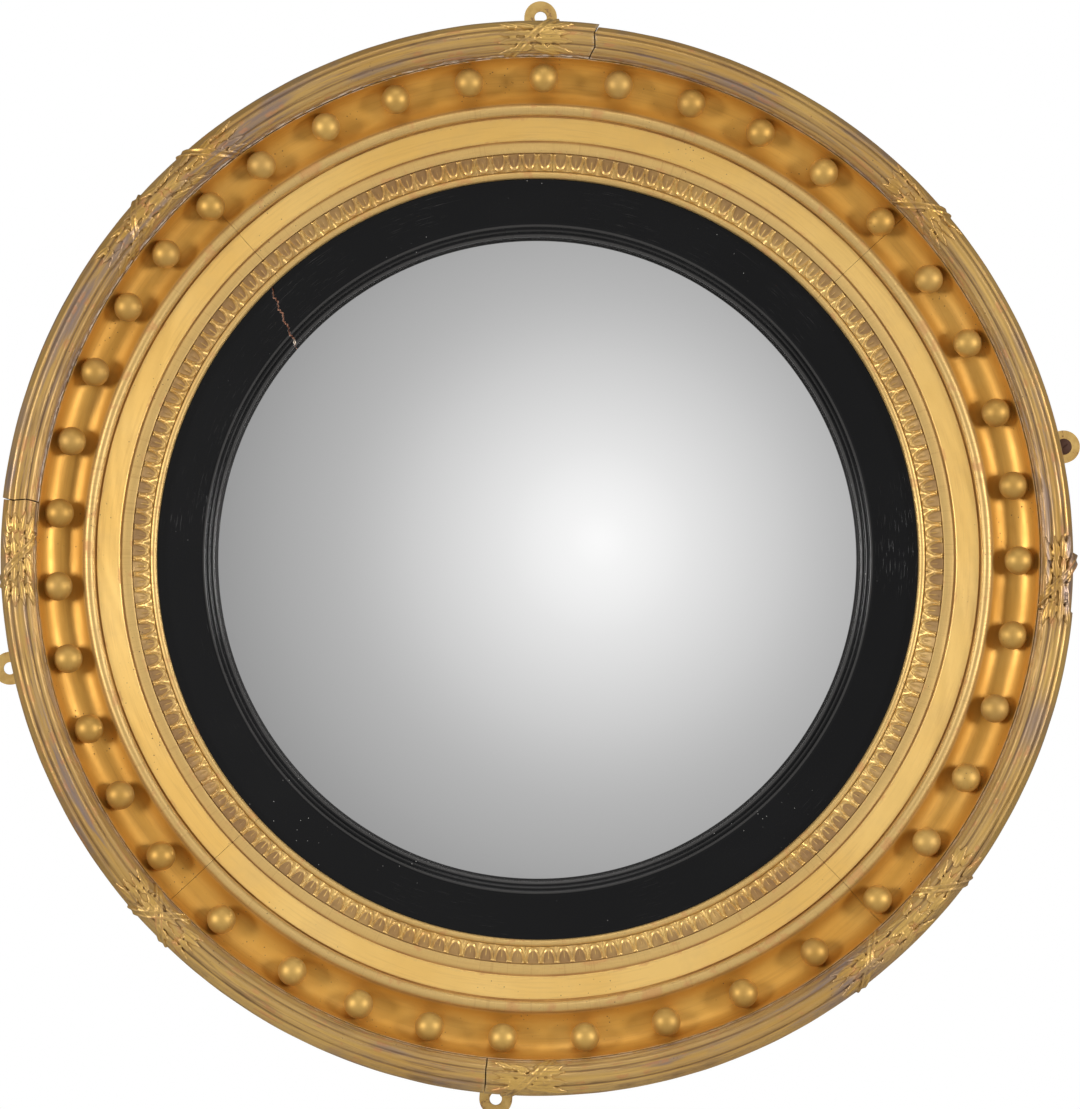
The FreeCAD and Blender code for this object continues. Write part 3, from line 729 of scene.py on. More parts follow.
def make_felloes():
    """Four felloes from 43 degrees on, with a 0.2 mm crack between neighbours."""
    section = felloe_section()
    relief = relief_of(section)
    soft = averaged(section, 0.22)
    radius, depth = soft.T
    seat = (radius > rim_inner + 1) & (depth > back_depth + 12)
    hidden = seat | (depth < back_depth + 0.3) | (radius < tongue_inner - 4)
    kept = thinned(soft, hidden)
    radius, depth, soft, relief = radius[kept], depth[kept], soft[kept], relief[kept]
    bead = smooth_step(radius, bead_inner - 0.2, bead_inner + 0.4)
    bead = bead * smooth_step(radius, hollow_inner + 0.5, hollow_inner - 0.3)
    band = smooth_step(radius, frieze_inner, frieze_inner - 0.5)
    rubbed = np.clip(0.75 * bead + 0.7 * band, 0, 1)
    # Painted shade: this mark covers the hollow from its inner wall out to the rim, where the gilding is
    # painted darker and more orange.
    deep = smooth_step(radius, hollow_inner - 0.3, hollow_inner + 1.5) * (radius < rim_inner)
    lip = bump(radius, rim_inner - 0.1, 0.5) * smooth_step(depth, lip_depth - 1.2, lip_depth - 0.3)
    for index, side in enumerate(SIDES):
        start = FELLOE_JOINT + 90.0 * index
        half_gap = math.degrees(HALF_FELLOE_GAP / hollow_inner)
        angles = np.linspace(start + half_gap, start + 90 - half_gap, FELLOE_STEPS)
        opened = smooth_step(np.abs(turn_between(angles, LOOSE_LIP)), 56, 30)[:, None]
        piece = segment("front_felloe_" + side + "_gilt", soft, angles, {
            "relief": relief, "rubbed": rubbed, "deep": deep, "chalk": lip * (0.3 + 0.5 * opened)},
            felloe_unevenness)
        finish_piece(piece, frame_gilding, "gilded_frame", "front_felloe_" + side)


make_felloes()

# %% [markdown]
# ## The reeded rim
#
# The rim is a bundle of reeds in one round moulding, sprung on in four quarters. Its section is a
# circle with ten reeds, and every other groove between them is faint. The quarters have shrunk
# unevenly, so each has its own radius, and their joints gape along slanting, crooked lines.

# %% Rim quarters
GLUE_LINE = 0.1
rim_creep = {"upper_right": -0.9, "upper_left": 0.8, "lower_left": 0.1, "lower_right": 0.2}
REEDS = 10
REED_DEPTH = 1.0
FAINT_GROOVE = 0.35
RIM_JOINT = 84.0
HALF_RIM_GAP = 0.35
RIM_STEPS = 300
joint_slants = {84.0: (-0.5, 0.22), 174.0: (0.1, 0.12), 264.0: (0.05, 0.05), -6.0: (0.12, 0.06)}
JOINT_CHALK = {84.0: 0.3, 174.0: 0.0, 264.0: 0.1, -6.0: 0.15}


def rim_circle(quarter):
    """Radius of the rim's axis and radius of its round, for one quarter."""
    radius = (outer_radius - rim_inner - GLUE_LINE + rim_creep[quarter]) / 2
    return rim_inner + GLUE_LINE + radius, radius


def rim_section(quarter):
    """Ten reeds round a circle, every other groove faint: size = R - depth * groove^1.7."""
    axis, radius = rim_circle(quarter)
    seat_turn = math.asin((rim_axis_depth - rim_seat_depth) / radius)
    turn = np.linspace(-seat_turn, math.pi + seat_turn, round(radius * (math.pi + 2 * seat_turn) / FINE))
    place = (turn + seat_turn) / (math.pi + 2 * seat_turn) * REEDS
    fall = np.abs(np.abs(place - np.floor(place) - 0.5) * 2) ** 1.7
    fall *= np.where(np.round(place) % 2 == 0, 1.0, FAINT_GROOVE)
    size = radius - REED_DEPTH * fall
    reeds = np.stack((axis + size * np.cos(turn), rim_axis_depth + size * np.sin(turn)), axis=-1)
    return np.concatenate((reeds[:-1], straight(reeds[-1], reeds[0])))


def nearest_joint(angle):
    """Key of the joint that lies nearest to an angle."""
    return min(joint_slants, key=lambda joint: abs(turn_between(joint, angle)))


def joint_line(radius, joint):
    """Degrees by which a joint leaves its mean line: a slant plus a zigzag across the rim."""
    slant, zigzag = joint_slants[joint]
    across = (radius - rim_inner) / (outer_radius - rim_inner)
    teeth = np.abs((across * 2.6 + 0.2) % 2 - 1) * 2 - 1
    return slant * (across - 0.5) + zigzag * teeth


def make_rim():
    """Four quarters, each pulled to its own joint lines at both ends and dented a little."""
    for index, quarter in enumerate(QUARTERS):
        section = averaged(rim_section(quarter), 0.16)
        relief = relief_of(rim_section(quarter), 0.2, 1.5)
        radius, depth = section.T
        kept = thinned(section, depth < rim_seat_depth + 0.3, every=2, hidden_every=8)
        section, relief = section[kept], relief[kept]
        start = RIM_JOINT + 90.0 * index
        joints = nearest_joint(start), nearest_joint(start + 90)
        half_gap = math.degrees(HALF_RIM_GAP / rim_inner)
        share = np.linspace(0, 1, RIM_STEPS)[:, None]

        def worn(radius, depth, angle, quarter=quarter, joints=joints, share=share):
            near_start = np.clip(1 - share * 12, 0, 1)
            near_end = np.clip(1 - (1 - share) * 12, 0, 1)
            angle = angle + near_start * joint_line(radius, joints[0])
            angle = angle + near_end * joint_line(radius, joints[1])
            axis, size = rim_circle(quarter)
            lift = smooth_step(depth, rim_seat_depth, rim_seat_depth + 4)
            dents = wander(angle, 21, (3, 7, 13)) * 0.12
            dents = dents + wander(angle + radius * 9, 22, (37, 58, 91)) * 0.07
            scale = 1 + lift * dents / size
            return axis + (radius - axis) * scale, rim_axis_depth + (depth - rim_axis_depth) * scale, angle

        angles = np.linspace(start + half_gap, start + 90 - half_gap, RIM_STEPS)
        inner_edge = bump(section[:, 0], rim_inner + 0.2, 0.7)
        loose = 1.0 if quarter == "upper_left" else 0.35
        broken = bump(share, 0, 0.002) * JOINT_CHALK[joints[0]]
        broken = broken + bump(share, 1, 0.002) * JOINT_CHALK[joints[1]]
        piece = segment("rim_" + quarter + "_gilt", section, angles, {
            "relief": relief * 1.5, "rubbed": 0.15 + 0.25 * (np.abs(section[:, 0] - rim_inner - 4) < 4),
            "chalk": np.clip(inner_edge * loose + broken, 0, 1)}, worn)
        finish_piece(piece, rim_gilding, "gilded_rim", "rim_" + quarter)


make_rim()

# %% [markdown]
# ## Raised ornament
#
# The lamb's tongues and the leaf ties were pressed in moulds and stuck on. Each is a height
# above a surface that is already known, so each is a function of two lengths: one along the
# ring and one across. The relief mark is that height, less its mean round about.

# %% Lamb's tongues
TONGUES = 160
PER_TONGUE = 18
TONGUE_ROWS = 19
TONGUE_JOINT = 88.0
HALF_TONGUE_GAP = 0.03


def tongue_height(across, down):
    """Height in mm at (across, down) of one tongue's place, both from 0 to 1.

    The outline is |x / 0.41|^2 + (down / 0.84)^2.6 = 1 with x = across - 0.5. A ridge follows it,
    the inside is a sunk bowl with a slim rib, and darts fill the gaps between the tips.
    """
    x = across - 0.5
    f = (np.abs(x) / 0.41) ** 2 + (np.clip(down, 0, 1) / 0.84) ** 2.6
    ridge = 0.9 * bump(f, 1.0, 0.17)
    bowl = -0.4 * smooth_step(f, 0.95, 0.45)
    rib = 0.5 * bump(x, 0, 0.055) * smooth_step(f, 0.9, 0.3) * smooth_step(down, 0.1, 0.4)
    dart = 0.6 * bump(np.abs(x), 0.5, 0.06) * smooth_step(down, 0.55, 0.85)
    edge = 0.3 * bump(down, 1.0, 0.06) + 0.25 * bump(down, 0.0, 0.05)
    return 0.35 + ridge + bowl + rib + dart + edge


def make_tongues():
    """Four strips: a skin of tongues on the slope between band and sight bead, and a foot."""
    outer = np.array((band_inner - 0.1, seat_depth + 0.05))
    inner = np.array((tongue_inner + 0.1, sight_depth + 0.05))
    down = np.linspace(0, 1, TONGUE_ROWS)
    rise = np.array((-(inner - outer)[1], (inner - outer)[0])) / np.linalg.norm(inner - outer)
    rise *= np.sign(rise[1])
    for index, quarter in enumerate(QUARTERS):
        count = TONGUES // 4 * PER_TONGUE
        steps = np.arange(count + 1)
        angles = TONGUE_JOINT + 90.0 * index + 90.0 * steps / count
        angles[0] += HALF_TONGUE_GAP
        angles[-1] -= HALF_TONGUE_GAP
        grid_across = (steps % PER_TONGUE / PER_TONGUE)[:, None]
        height = tongue_height(grid_across, down[None, :])
        height += 0.12 * wander(angles * 40, 31, (3, 7, 11))[:, None]
        edge_hold = smooth_step(down, 0, 0.04) * smooth_step(down, 1, 0.96)
        height = 0.5 + height * edge_hold
        top = (outer + (inner - outer) * down[:, None])[None] + height[..., None] * rise
        foot = np.broadcast_to(np.array((inner, outer)), (count + 1, 2, 2))
        section = np.concatenate((top, foot), axis=1)
        relief = np.concatenate((height - 1.0, np.full((count + 1, 2), -0.5)), axis=1)
        piece = swept("lambs_tongues_" + quarter, section[..., 0], section[..., 1], angles[:, None], {
            "relief": relief, "rubbed": np.clip(relief, 0, 1) * 0.2, "chalk": 0.0})
        finish_piece(piece, ornament_gilding, "gilded_ornament", "tongue_moulding_" + quarter)


make_tongues()

# %% [markdown]
# ### Leaf ties
#
# Where the real rim needed a clip to hold its bundle of reeds, the maker put a knot of leaves
# and a ribbon. On the skin of the rim each leaf is a hump with a sunk rib, and the tallest one
# at each point wins. Between the leaves the skin sinks below the reeds, which then show.

# %% Leaf ties
ties = {
    "top": (90.5, 46.0, ((2.5, 1),)),
    "upper_right": (42.5, 57.0, ((0.0, 1),)),
    "right": (-2.8, 54.0, ((0.0, -1),)),
    "lower_right": (-45.0, 113.0, ((28.0, -1), (-31.0, 1))),
    "bottom": (-91.2, 46.0, ((0.0, 1),)),
    "lower_left": (-136.6, 61.0, ((0.0, 1), (0.0, -1))),
    "left": (180.5, 57.0, ((0.0, -1),)),
    "upper_left": (136.0, 113.0, ((26.0, 1), (-33.5, -1))),
}
TIE_STEP = 0.34
SUNK = -1.6
LEAF_LENGTH = 15.0
RIBBON_SLANT = math.radians(50)
HALF_RIBBON = 2.1


def leaf_height(along, across, base, tip, width):
    """Hump of one leaf from base to tip: crown (1 - (v / w)^2)^0.5, w = width sin(pi u^0.7), less a rib."""
    axis = np.subtract(tip, base)
    length = np.hypot(*axis)
    u = ((along - base[0]) * axis[0] + (across - base[1]) * axis[1]) / length ** 2
    v = ((along - base[0]) * axis[1] - (across - base[1]) * axis[0]) / length
    inside = np.clip(u, 0, 1)
    lobes = 1 + 0.1 * np.sin(inside * math.pi * 7)
    half = width / 2 * np.sin(math.pi * inside ** 0.7) ** 0.8 * lobes + 1e-6
    body = np.sqrt(np.clip(1 - (v / half) ** 2, 0, 1)) * (0.45 + 0.5 * np.sin(math.pi * inside ** 0.8))
    rib = 0.4 * bump(v, 0, 0.28) * (inside > 0.06)
    shape = body - rib
    return np.where((u > 0) & (u < 1) & (np.abs(v) < half), shape, SUNK)


def ribbon_height(along, across, place, lean):
    """Slanting band with two raised edges: |v| < half its width, v its distance from the middle line."""
    v = (along - place + lean * (across - half_rim) * math.tan(RIBBON_SLANT)) * math.cos(RIBBON_SLANT)
    band = 0.7 + 0.5 * bump(np.abs(v), 1.5, 0.45) - 0.35 * bump(v, 0, 0.5)
    return np.where(np.abs(v) < HALF_RIBBON, band, SUNK)


def tie_height(along, across, length, ribbons, seed):
    """Tallest of the leaves, berries and ribbons at each point, or sunk below the reeds."""
    draw = np.random.default_rng(seed)
    shapes = [ribbon_height(along, across, place, lean) for place, lean in ribbons]
    rows = max(1, round(length / 2 / LEAF_LENGTH))
    for row in range(rows):
        shift = row * (length / 2 - LEAF_LENGTH) / max(1, rows - 1)
        for way in (-1, 1):
            for leaf in range(4):
                aim = (leaf / 3 - 0.55) * RIM_WIDTH * draw.uniform(0.6, 0.95)
                base = (way * shift + draw.uniform(-2.5, 2.5), half_rim + aim * 0.6)
                tip = (way * (shift + LEAF_LENGTH * draw.uniform(0.85, 1.15)), half_rim + aim)
                tip = (np.clip(tip[0], -length / 2 + 0.6, length / 2 - 0.6), tip[1])
                shapes.append(leaf_height(along, across, base, tip, draw.uniform(3.4, 5.0)))
    for berry in range(rows * 3):
        centre = (draw.uniform(-0.3, 0.3) * length, half_rim + draw.uniform(-6, 4))
        size = draw.uniform(0.9, 1.3)
        away = np.hypot(along - centre[0], across - centre[1])
        dome = 0.2 + np.sqrt(np.clip(size ** 2 - away ** 2, 0, None))
        shapes.append(np.where(away < size, dome, SUNK))
    return np.maximum.reduce(shapes)


def blurred(grid, passes):
    """Mean of each point and its four neighbours, a few times over."""
    for _ in range(passes):
        padded = np.pad(grid, 1, mode="edge")
        grid = (grid * 4 + padded[:-2, 1:-1] + padded[2:, 1:-1] + padded[1:-1, :-2] + padded[1:-1, 2:]) / 8
    return grid


def quarter_at(angle):
    """Name of the rim quarter at an angle."""
    return QUARTERS[int((angle - RIM_JOINT) % 360 // 90)]


def make_ties():
    """Eight ties, each a skin over the round of the rim, closed by a second skin inside it."""
    for seed, (name, (middle_angle, length, ribbons)) in enumerate(ties.items()):
        half_turn = math.degrees(length / 2 / rim_middle)
        ends = quarter_at(middle_angle - half_turn), quarter_at(middle_angle + half_turn)
        quarter = max(ends, key=rim_creep.get)
        axis, radius = rim_circle(quarter)
        along = np.linspace(-length / 2, length / 2, round(length / TIE_STEP))
        turn = np.linspace(math.radians(4), math.radians(176), round(radius * 3.0 / TIE_STEP))
        unrolled = np.interp(turn, (0, math.pi), (RIM_WIDTH + 3.5, -3.5))
        across = unrolled * 0.5 + (half_rim + radius * np.cos(turn)) * 0.5
        height = tie_height(along[:, None], across[None, :], length, ribbons, 50 + seed)
        height = blurred(height, 2)
        rim_hold = smooth_step(turn, math.radians(4), math.radians(14))
        rim_hold = rim_hold * smooth_step(turn, math.radians(176), math.radians(166))
        end_hold = smooth_step(length / 2 - np.abs(along), 0, 1.2)
        hold = rim_hold[None, :] * end_hold[:, None]
        height = np.clip(SUNK + (height - SUNK) * hold, SUNK, 1.3)
        size = radius + 0.1 + height
        under = np.full_like(size, radius + SUNK - 1.2)
        rings = np.stack((size, under))
        section_radius = axis + rings * np.cos(turn)
        section_depth = rim_axis_depth + rings * np.sin(turn)
        angle = middle_angle + np.degrees(along / rim_middle)[:, None]
        points = on_ring(section_radius, section_depth, angle)
        rows, columns = size.shape
        upper = quads(rows, columns)
        lower = upper[:, ::-1] + rows * columns
        border = np.concatenate((np.arange(columns), np.arange(1, rows) * columns + columns - 1,
                                 (rows - 1) * columns + np.arange(columns - 2, -1, -1),
                                 np.arange(rows - 2, 0, -1) * columns))
        after = np.roll(border, -1)
        wall = np.stack((after, border, border + rows * columns, after + rows * columns), axis=-1)
        shade = height - blurred(height, 24)
        marks = {"relief": np.stack((shade * 1.1 + 0.02, np.zeros_like(shade))),
                 "rubbed": np.stack((np.clip(shade, 0, 1) * 0.25,) * 2),
                 "chalk": np.zeros_like(rings)}
        faces = np.concatenate((upper, lower, wall))
        piece = add_piece("leaf_tie_" + name + "_gilt", points, faces, (), marks)
        finish_piece(piece, rim_gilding, "gilded_ornament", "leaf_tie_" + name)


make_ties()

# %% [markdown]
# ## Gilt balls
#
# Forty turned balls are pinned in the hollow, stepped round by eye, so the gaps between them
# vary. Their places repeat the steps of the CAD model. No ball is quite round.

# %% Balls
BALL_RADIUS = 8.2
BALL_LEAN = math.radians(28)
FIRST_BALL = 89.5
ball_runs = ((15, 9.0), (5, 9.8), (3, 8.8), (2, 10.4), (8, 8.7), (3, 7.8), (4, 9.0))


def hollow_circle():
    """Centre (radius, depth) and radius of the hollow's arc, from its chord and its sag."""
    outer, inner = np.array((hollow_outer, lip_depth)), np.array((hollow_inner, bead_depth))
    chord = inner - outer
    length = np.hypot(*chord)
    radius = ((length / 2) ** 2 + HOLLOW_SAG ** 2) / (2 * HOLLOW_SAG)
    front = np.array((chord[1], -chord[0])) / length
    front *= np.sign(front[1])
    return (outer + inner) / 2 + front * (radius - HOLLOW_SAG), radius


def make_balls():
    """One grid of latitude and longitude, copied to forty places as one array."""
    turned = np.cumsum(np.concatenate([np.full(count, step) for count, step in ball_runs]))
    angles = FIRST_BALL - 360.0 / turned[-1] * np.concatenate(((0,), turned[:-1]))
    centre, curve = hollow_circle()
    centre = centre + np.array((math.sin(BALL_LEAN), -math.cos(BALL_LEAN))) * (curve - BALL_RADIUS - 0.1)
    rings, segments = 17, 34
    latitude = np.linspace(0, math.pi, rings + 2)[1:-1, None]
    longitude = np.arange(segments)[None, :] * 2 * math.pi / segments
    ball = np.stack(np.broadcast_arrays(
        np.sin(latitude) * np.cos(longitude), np.sin(latitude) * np.sin(longitude),
        np.cos(latitude)), axis=-1)
    ball = np.concatenate((ball.reshape(-1, 3), ((0, 0, 1), (0, 0, -1))))
    uneven = 1 + np.random.default_rng(5).uniform(-0.012, 0.012, (len(angles), 1, 3))
    points = on_ring(centre[0], centre[1], angles)[:, None, :] + ball * uneven * BALL_RADIUS * MM
    body = quads(rings, segments, wrap_columns=True)
    around = np.arange(segments)
    after = (around + 1) % segments
    last_ring = (rings - 1) * segments
    lid = np.stack((np.full(segments, len(ball) - 2), around, after), axis=-1)
    base = np.stack((np.full(segments, len(ball) - 1), after + last_ring, around + last_ring), axis=-1)
    offsets = np.arange(len(angles))[:, None, None] * len(ball)
    seat = np.broadcast_to(-np.clip(ball[:, 1] - 0.45, 0, 1), points.shape[:2])
    piece = add_piece("turned_balls", points, (body + offsets).reshape(-1, 4), (), {
        "relief": seat, "rubbed": np.full(seat.shape, 0.1), "chalk": np.zeros(seat.shape),
    }, (np.concatenate((lid, base)) + offsets).reshape(-1, 3))
    finish_piece(piece, ball_gilding, "gilded_balls", "gilt_balls")


make_balls()

# %% [markdown]
# ## The black slip
#
# The slip is ebonised: stained black and lacquered. Three fine reeds run beside the glass. One
# old shrinkage crack crosses it at the upper left, jagged and showing bare pinkish wood, with a
# small white chip at its inner end. The ring is divided much more finely near the crack.

# %% Slip
CRACK_OUTER, CRACK_INNER = 134.7, 138.7
SLIP_REEDS = 3


def slip_section():
    """Closed section of the slip: lap, sloping face, three reeds, and the flat back."""
    reed_top = np.array((slip_reed, slip_front - 3.0))
    lip = np.array((glass_sight, slip_front - 6.4))
    reeds = [(*(reed_top + (lip - reed_top) * share / SLIP_REEDS), 0.6) for share in range(SLIP_REEDS)]
    return closed_section([
        (slip_outer, slip_back, 0),
        (slip_outer, slip_front - 0.05, 0),
        (sight - 0.6, slip_front - 0.05, 0),
        *reeds,
        (*lip, 0),
        (glass_sight, slip_back, 0)])


def crack_angle(radius):
    """Angle of the crack at a radius: its mean line plus two sizes of zigzag."""
    share = (radius - glass_sight) / (sight - glass_sight)
    coarse = np.abs((share * 9.3) % 2 - 1) - 0.5
    small = np.abs((share * 31.0) % 2 - 1) - 0.5
    return CRACK_INNER + (CRACK_OUTER - CRACK_INNER) * share + coarse * 0.42 + small * 0.2


def make_slip():
    """The section goes all the way round; the crack sinks the face along its line."""
    section = averaged(slip_section(), 0.14)
    relief = relief_of(slip_section(), 0.15, 1.2)
    hidden = (section[:, 1] < slip_back + 0.3) | (section[:, 0] > sight + 1.5)
    kept = thinned(section, hidden, every=2, hidden_every=10)
    section, relief = section[kept], relief[kept]
    coarse = np.arange(CRACK_INNER + 2.0, CRACK_OUTER - 2.0 + 360, 0.75)
    fine = np.arange(CRACK_OUTER - 2.0, CRACK_INNER + 2.0, 0.05)
    angles = np.concatenate((coarse, fine + 360))[:, None]
    radius, depth = section.T
    away = np.radians(turn_between(angles, crack_angle(radius))) * radius
    on_face = smooth_step(radius, glass_sight - 0.5, glass_sight + 0.5)
    on_face = on_face * smooth_step(radius, sight + 0.5, sight - 0.5) * (depth > slip_back + 1.5)
    line = bump(away, 0, 0.3) * on_face
    chip = bump(away, 0, 0.9) * bump(radius, glass_sight + 1.8, 1.3) * on_face
    sunk = depth - 1.0 * line - 0.5 * chip
    points = on_ring(radius, sunk, angles)
    rows, columns = sunk.shape
    piece = add_piece("black_slip", points, quads(rows, columns, True, True), (), {
        "relief": np.broadcast_to(relief, sunk.shape), "split": bump(away, 0, 0.42) * on_face, "chip": chip})
    finish_piece(piece, black_lacquer(), "ebonised_wood", "ebonised_slip")


def black_lacquer():
    """Near-black lacquer with faint turned scratches, dust, grey rubbed reeds and the bare split."""
    material, wire, surface = new_material("black_lacquer")
    point = wire.group(ring_place)["Point"]
    scratch = wire.group(ring_streaks, Along=14.0, Across=2600.0, Detail=2.0)[0]
    scratch = wire.times(wire.step(scratch, 0.62, 0.72), wire.step(wire.noise(point, 14.0), 0.5, 0.65))
    dust = wire.step(wire.cells(point, 260.0), 0.09, 0.04)
    dust = wire.times(dust, wire.step(wire.noise(point, 22.0, 2.0), 0.56, 0.66))
    bloom = wire.step(wire.noise(point, 12.0, 4.0), 0.4, 0.75)
    tone = wire.mix(wire.times(bloom, 0.5), colour(7, 7, 8), colour(15, 15, 16))
    tone = wire.mix(wire.times(scratch, 0.35), tone, colour(92, 90, 88))
    proud = wire.step(wire.mark("relief"), 0.05, 0.3)
    tone = wire.mix(wire.times(proud, 0.3), tone, colour(104, 102, 100))
    tone = wire.mix(wire.times(dust, 0.7), tone, colour(170, 168, 164))
    raw = wire.noise(point, 700.0, 3.0)
    bare = wire.mix(wire.step(raw, 0.4, 0.62), colour(92, 52, 40), colour(206, 158, 132))
    tone = wire.mix(wire.step(wire.mark("split"), 0.25, 0.6), tone, bare)
    tone = wire.mix(wire.step(wire.mark("chip"), 0.3, 0.5), tone, GESSO)
    rough = wire.plus(0.2, wire.times(bloom, 0.14))
    rough = wire.plus(rough, wire.times(wire.mark("split"), 0.4), clamp=True)
    wire.fill(surface, Base_Color=tone, Roughness=rough, Specular_IOR_Level=0.17)
    add_bump(wire, surface, wire.calc("SUBTRACT", bloom, scratch), 0.00003)
    return material


make_slip()

# %% [markdown]
# ## The convex glass
#
# The glass is a shallow cap of a sphere, 700 mm in radius, silvered behind. A thin metal-bright
# dome stands for it, because what one sees is almost all in the silver. Its grid has to be
# close and even, since any facet would bend the reflection.

# %% Mirror dome
GLASS_CURVE = 700.0
GLASS_THICKNESS = 3.0


def dome_depth(radius, thickness=0.0):
    """Depth of the cap: apex - R + sqrt((R - t)^2 - r^2), its edge resting behind the slip."""
    apex = slip_back - 0.1 + GLASS_CURVE - math.sqrt(GLASS_CURVE ** 2 - glass_sight ** 2)
    return apex - GLASS_CURVE + np.sqrt((GLASS_CURVE - thickness) ** 2 - radius ** 2)


def silvered():
    """Silver behind old glass: bright metal, faintly clouded near the edge."""
    material, wire, surface = new_material("silvered_glass")
    place = wire.group(ring_place)
    edge = wire.step(place["Radius"], 0.175, 0.1915)
    cloud = wire.times(wire.step(wire.noise(place["Point"], 40.0, 5.0), 0.5, 0.8), edge)
    fleck = wire.times(wire.step(wire.cells(place["Point"], 130.0), 0.06, 0.02), edge)
    tone = wire.mix(wire.times(cloud, 0.12), colour(250, 250, 250), colour(190, 188, 182))
    tone = wire.mix(wire.times(fleck, 0.35), tone, colour(120, 116, 108))
    rough = wire.times(wire.calc("MAXIMUM", cloud, fleck), 0.12)
    wire.fill(surface, Base_Color=tone, Metallic=1.0, Roughness=rough)
    return material


def make_mirror():
    """Rings of points on the front and the back of the cap, closed at the edge and the poles."""
    rings, segments = 90, 240
    ring_radii = glass_radius * np.linspace(0, 1, rings + 1)[1:]
    angles = np.linspace(0, 360, segments, endpoint=False)
    radii = np.concatenate((ring_radii, ring_radii[::-1]))
    depths = np.concatenate((dome_depth(ring_radii), dome_depth(ring_radii[::-1], GLASS_THICKNESS)))
    body = on_ring(radii[:, None], depths[:, None], angles[None, :]).reshape(-1, 3)
    poles = on_ring(np.zeros(2), np.array((dome_depth(0.0), dome_depth(0.0, GLASS_THICKNESS))), 0.0)
    around = np.arange(segments)
    after = (around + 1) % segments
    last = (2 * rings - 1) * segments
    front = np.stack((np.full(segments, len(body)), after, around), axis=-1)
    back = np.stack((np.full(segments, len(body) + 1), around + last, after + last), axis=-1)
    faces = quads(2 * rings, segments, wrap_columns=True)
    piece = add_piece("silvered_dome", np.concatenate((body, poles)), faces,
                      triangles=np.concatenate((front, back)))
    finish_piece(piece, silvered(), "mirror_glass", "convex_glass")


make_mirror()

# %% [markdown]
# ## What the CAD model already shows
#
# The back of the frame, its boards and its ironwork have the right shape in the CAD model, so
# they only need a finish. Old pine is the same wood with its grain laid three ways, so it is a
# group that takes the direction along the grain.

# %% Old pine
def make_pine():
    """Growth rings as stretched noise, with knots of dust and dark stains."""
    tree, wire, given, out = new_group("Old pine", {
        "Vector": [0.0, 0.0, 0.0], "Pale": (0.5, 0.4, 0.3, 1.0), "Dark": (0.2, 0.1, 0.05, 1.0)},
        {"Color": "Color", "Roughness": "Float", "Height": "Float"})
    along_grain = wire.vector("MULTIPLY", given["Vector"], (5.0, 90.0, 90.0))
    broad = wire.noise(along_grain, 0.6, 3.0)
    fibre = wire.noise(wire.vector("MULTIPLY", given["Vector"], (18.0, 900.0, 900.0)), 1.0, 4.0)
    rings = wire.calc("SINE", wire.times(wire.noise(along_grain, 0.35, 2.0), 42.0))
    band = wire.step(rings, -0.4, 0.9)
    tone = wire.mix(wire.times(band, 0.55), given["Pale"], given["Dark"])
    tone = wire.mix(wire.times(wire.step(fibre, 0.5, 0.75), 0.4), tone, given["Dark"])
    stain = wire.step(wire.noise(given["Vector"], 7.0, 5.0, 0.6), 0.5, 0.72)
    tone = wire.mix(wire.times(stain, 0.5), tone, colour(62, 46, 32))
    tone = wire.mix(wire.times(wire.step(broad, 0.3, 0.7), 0.18), tone, colour(150, 138, 120))
    wire.fill(out, Color=tone, Roughness=wire.plus(0.68, wire.times(stain, 0.16)),
              Height=wire.plus(wire.times(fibre, 0.7), wire.times(band, 0.3)))
    return tree


old_pine = make_pine()


def pine(name, pale, dark, grain_turn):
    """Pine whose grain is turned about the axis of the mirror by an angle in degrees from +X."""
    material, wire, surface = new_material(name)
    mapping = wire.add("ShaderNodeMapping")
    mapping.inputs["Rotation"].default_value = (0.0, math.radians(grain_turn), 0.0)
    wire.join(mapping.inputs["Vector"], wire.object_point())
    wood = wire.group(old_pine, Vector=mapping.outputs[0], Pale=pale, Dark=dark)
    wire.fill(surface, Base_Color=wood["Color"], Roughness=wood["Roughness"])
    add_bump(wire, surface, wood["Height"], 0.0003)
    return material


def aged_metal(name, bright, tarnish, crust, metal, rough, crust_share):
    """Metal that is part bright, part tarnished, with a rough crust in patches."""
    material, wire, surface = new_material(name)
    point = wire.object_point()
    patches = wire.noise(point, 150.0, 5.0, 0.6)
    fine = wire.noise(point, 900.0, 4.0, 0.6)
    tone = wire.mix(wire.step(patches, 0.35, 0.65), bright, tarnish)
    spots = wire.step(wire.plus(patches, wire.times(fine, 0.4)), 0.78 - crust_share, 0.86 - crust_share)
    tone = wire.mix(spots, tone, crust)
    wire.fill(surface, Base_Color=tone, Metallic=wire.times(wire.calc("SUBTRACT", 1.0, spots), metal),
              Roughness=wire.plus(rough, wire.times(spots, 0.35), clamp=True))
    add_bump(wire, surface, wire.plus(fine, spots), 0.0001)
    return material


def dark_paper():
    """Old blackened paper with fibres."""
    material, wire, surface = new_material("old_paper")
    fibres = wire.noise(wire.object_point(), 1400.0, 4.0)
    tone = wire.mix(wire.step(fibres, 0.35, 0.7), colour(58, 48, 40), colour(96, 82, 66))
    wire.fill(surface, Base_Color=tone, Roughness=0.85)
    add_bump(wire, surface, fibres, 0.00005)
    return material


# %% Finishes on the CAD nodes
def dress(material, *nodes):
    """Give one finish to CAD nodes."""
    for node in nodes:
        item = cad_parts[node]
        item.data.materials.clear()
        item.data.materials.append(material)
    print(material.name, "on", len(nodes), "nodes")


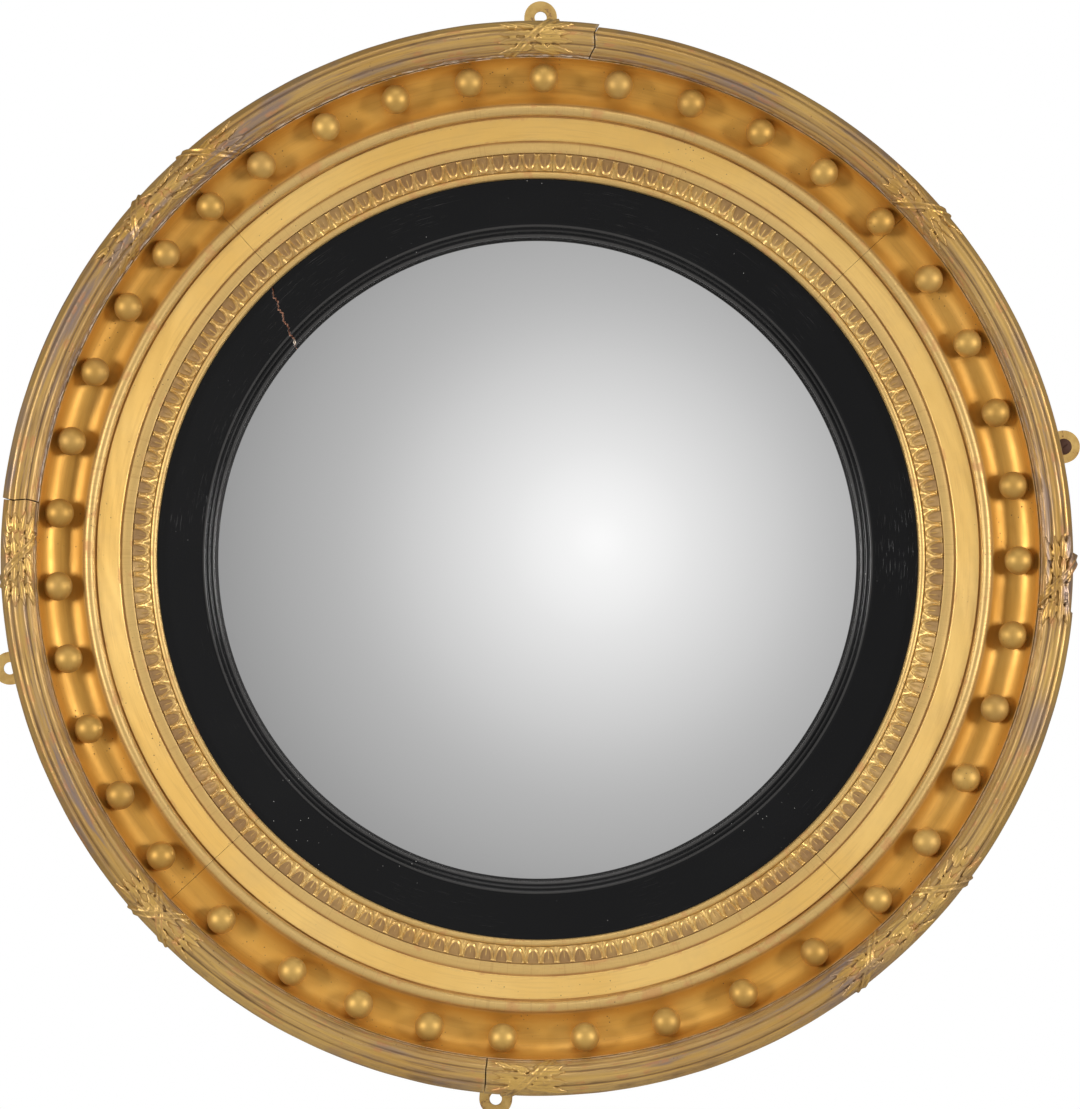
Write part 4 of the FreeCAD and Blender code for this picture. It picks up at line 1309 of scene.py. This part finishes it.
dress(pine("back_pine_rising", colour(150, 118, 82), colour(104, 74, 46), 45.0),
      "back_felloe_upper_left", "back_felloe_lower_right")
dress(pine("back_pine_falling", colour(146, 114, 78), colour(100, 70, 44), -45.0),
      "back_felloe_upper_right", "back_felloe_lower_left")
dress(pine("board_pine", colour(160, 126, 86), colour(112, 80, 50), 90.0),
      "backboard_left", "backboard_middle", "backboard_right")
dress(pine("block_pine", colour(176, 142, 100), colour(130, 96, 60), 0.0), "glass_blocks")
dress(aged_metal("old_brass", colour(206, 172, 104), colour(184, 148, 84), colour(128, 98, 58),
                 0.7, 0.38, -0.02), *("hanging_plate_" + side for side in SIDES))
dress(aged_metal("dull_screws", colour(150, 142, 130), colour(96, 88, 80), colour(84, 54, 36),
                 0.85, 0.42, 0.16), "plate_screws", "ball_pins")
dress(aged_metal("rusted_iron", colour(58, 52, 48), colour(38, 33, 30), colour(70, 42, 28), 0.5, 0.5, 0.3),
      "wall_screw", "backboard_nails")
dress(dark_paper(), "glass_edge_strip")
dress(aged_metal("silver_back", colour(170, 168, 162), colour(120, 112, 102), colour(96, 70, 50),
                 0.6, 0.4, 0.12), "silvering")

# %% [markdown]
# ## Floor
#
# A plain pale disc, well below the mirror. It is small enough to stay out of what the glass
# shows to the camera.

# %% Floor
FLOOR_LEVEL = -1.25
FLOOR_RADIUS = 1.5
FLOOR_POINTS = 96


def make_floor():
    """Fan of one ring of points round the middle."""
    angles = np.linspace(0, 2 * math.pi, FLOOR_POINTS, endpoint=False)
    rim = np.stack((np.cos(angles) * FLOOR_RADIUS, np.sin(angles) * FLOOR_RADIUS,
                    np.full(FLOOR_POINTS, FLOOR_LEVEL)), axis=-1)
    mesh = bpy.data.meshes.new("floor")
    mesh.from_pydata(rim.tolist(), [], [list(range(FLOOR_POINTS))])
    floor = bpy.data.objects.new("floor", mesh)
    bpy.context.scene.collection.objects.link(floor)
    material, wire, surface = new_material("pale_floor")
    cloud = wire.noise(wire.object_point(), 2.0)
    tone = wire.mix(cloud, colour(238, 237, 235), colour(246, 245, 243))
    wire.fill(surface, Base_Color=tone, Roughness=0.8)
    mesh.materials.append(material)


make_floor()
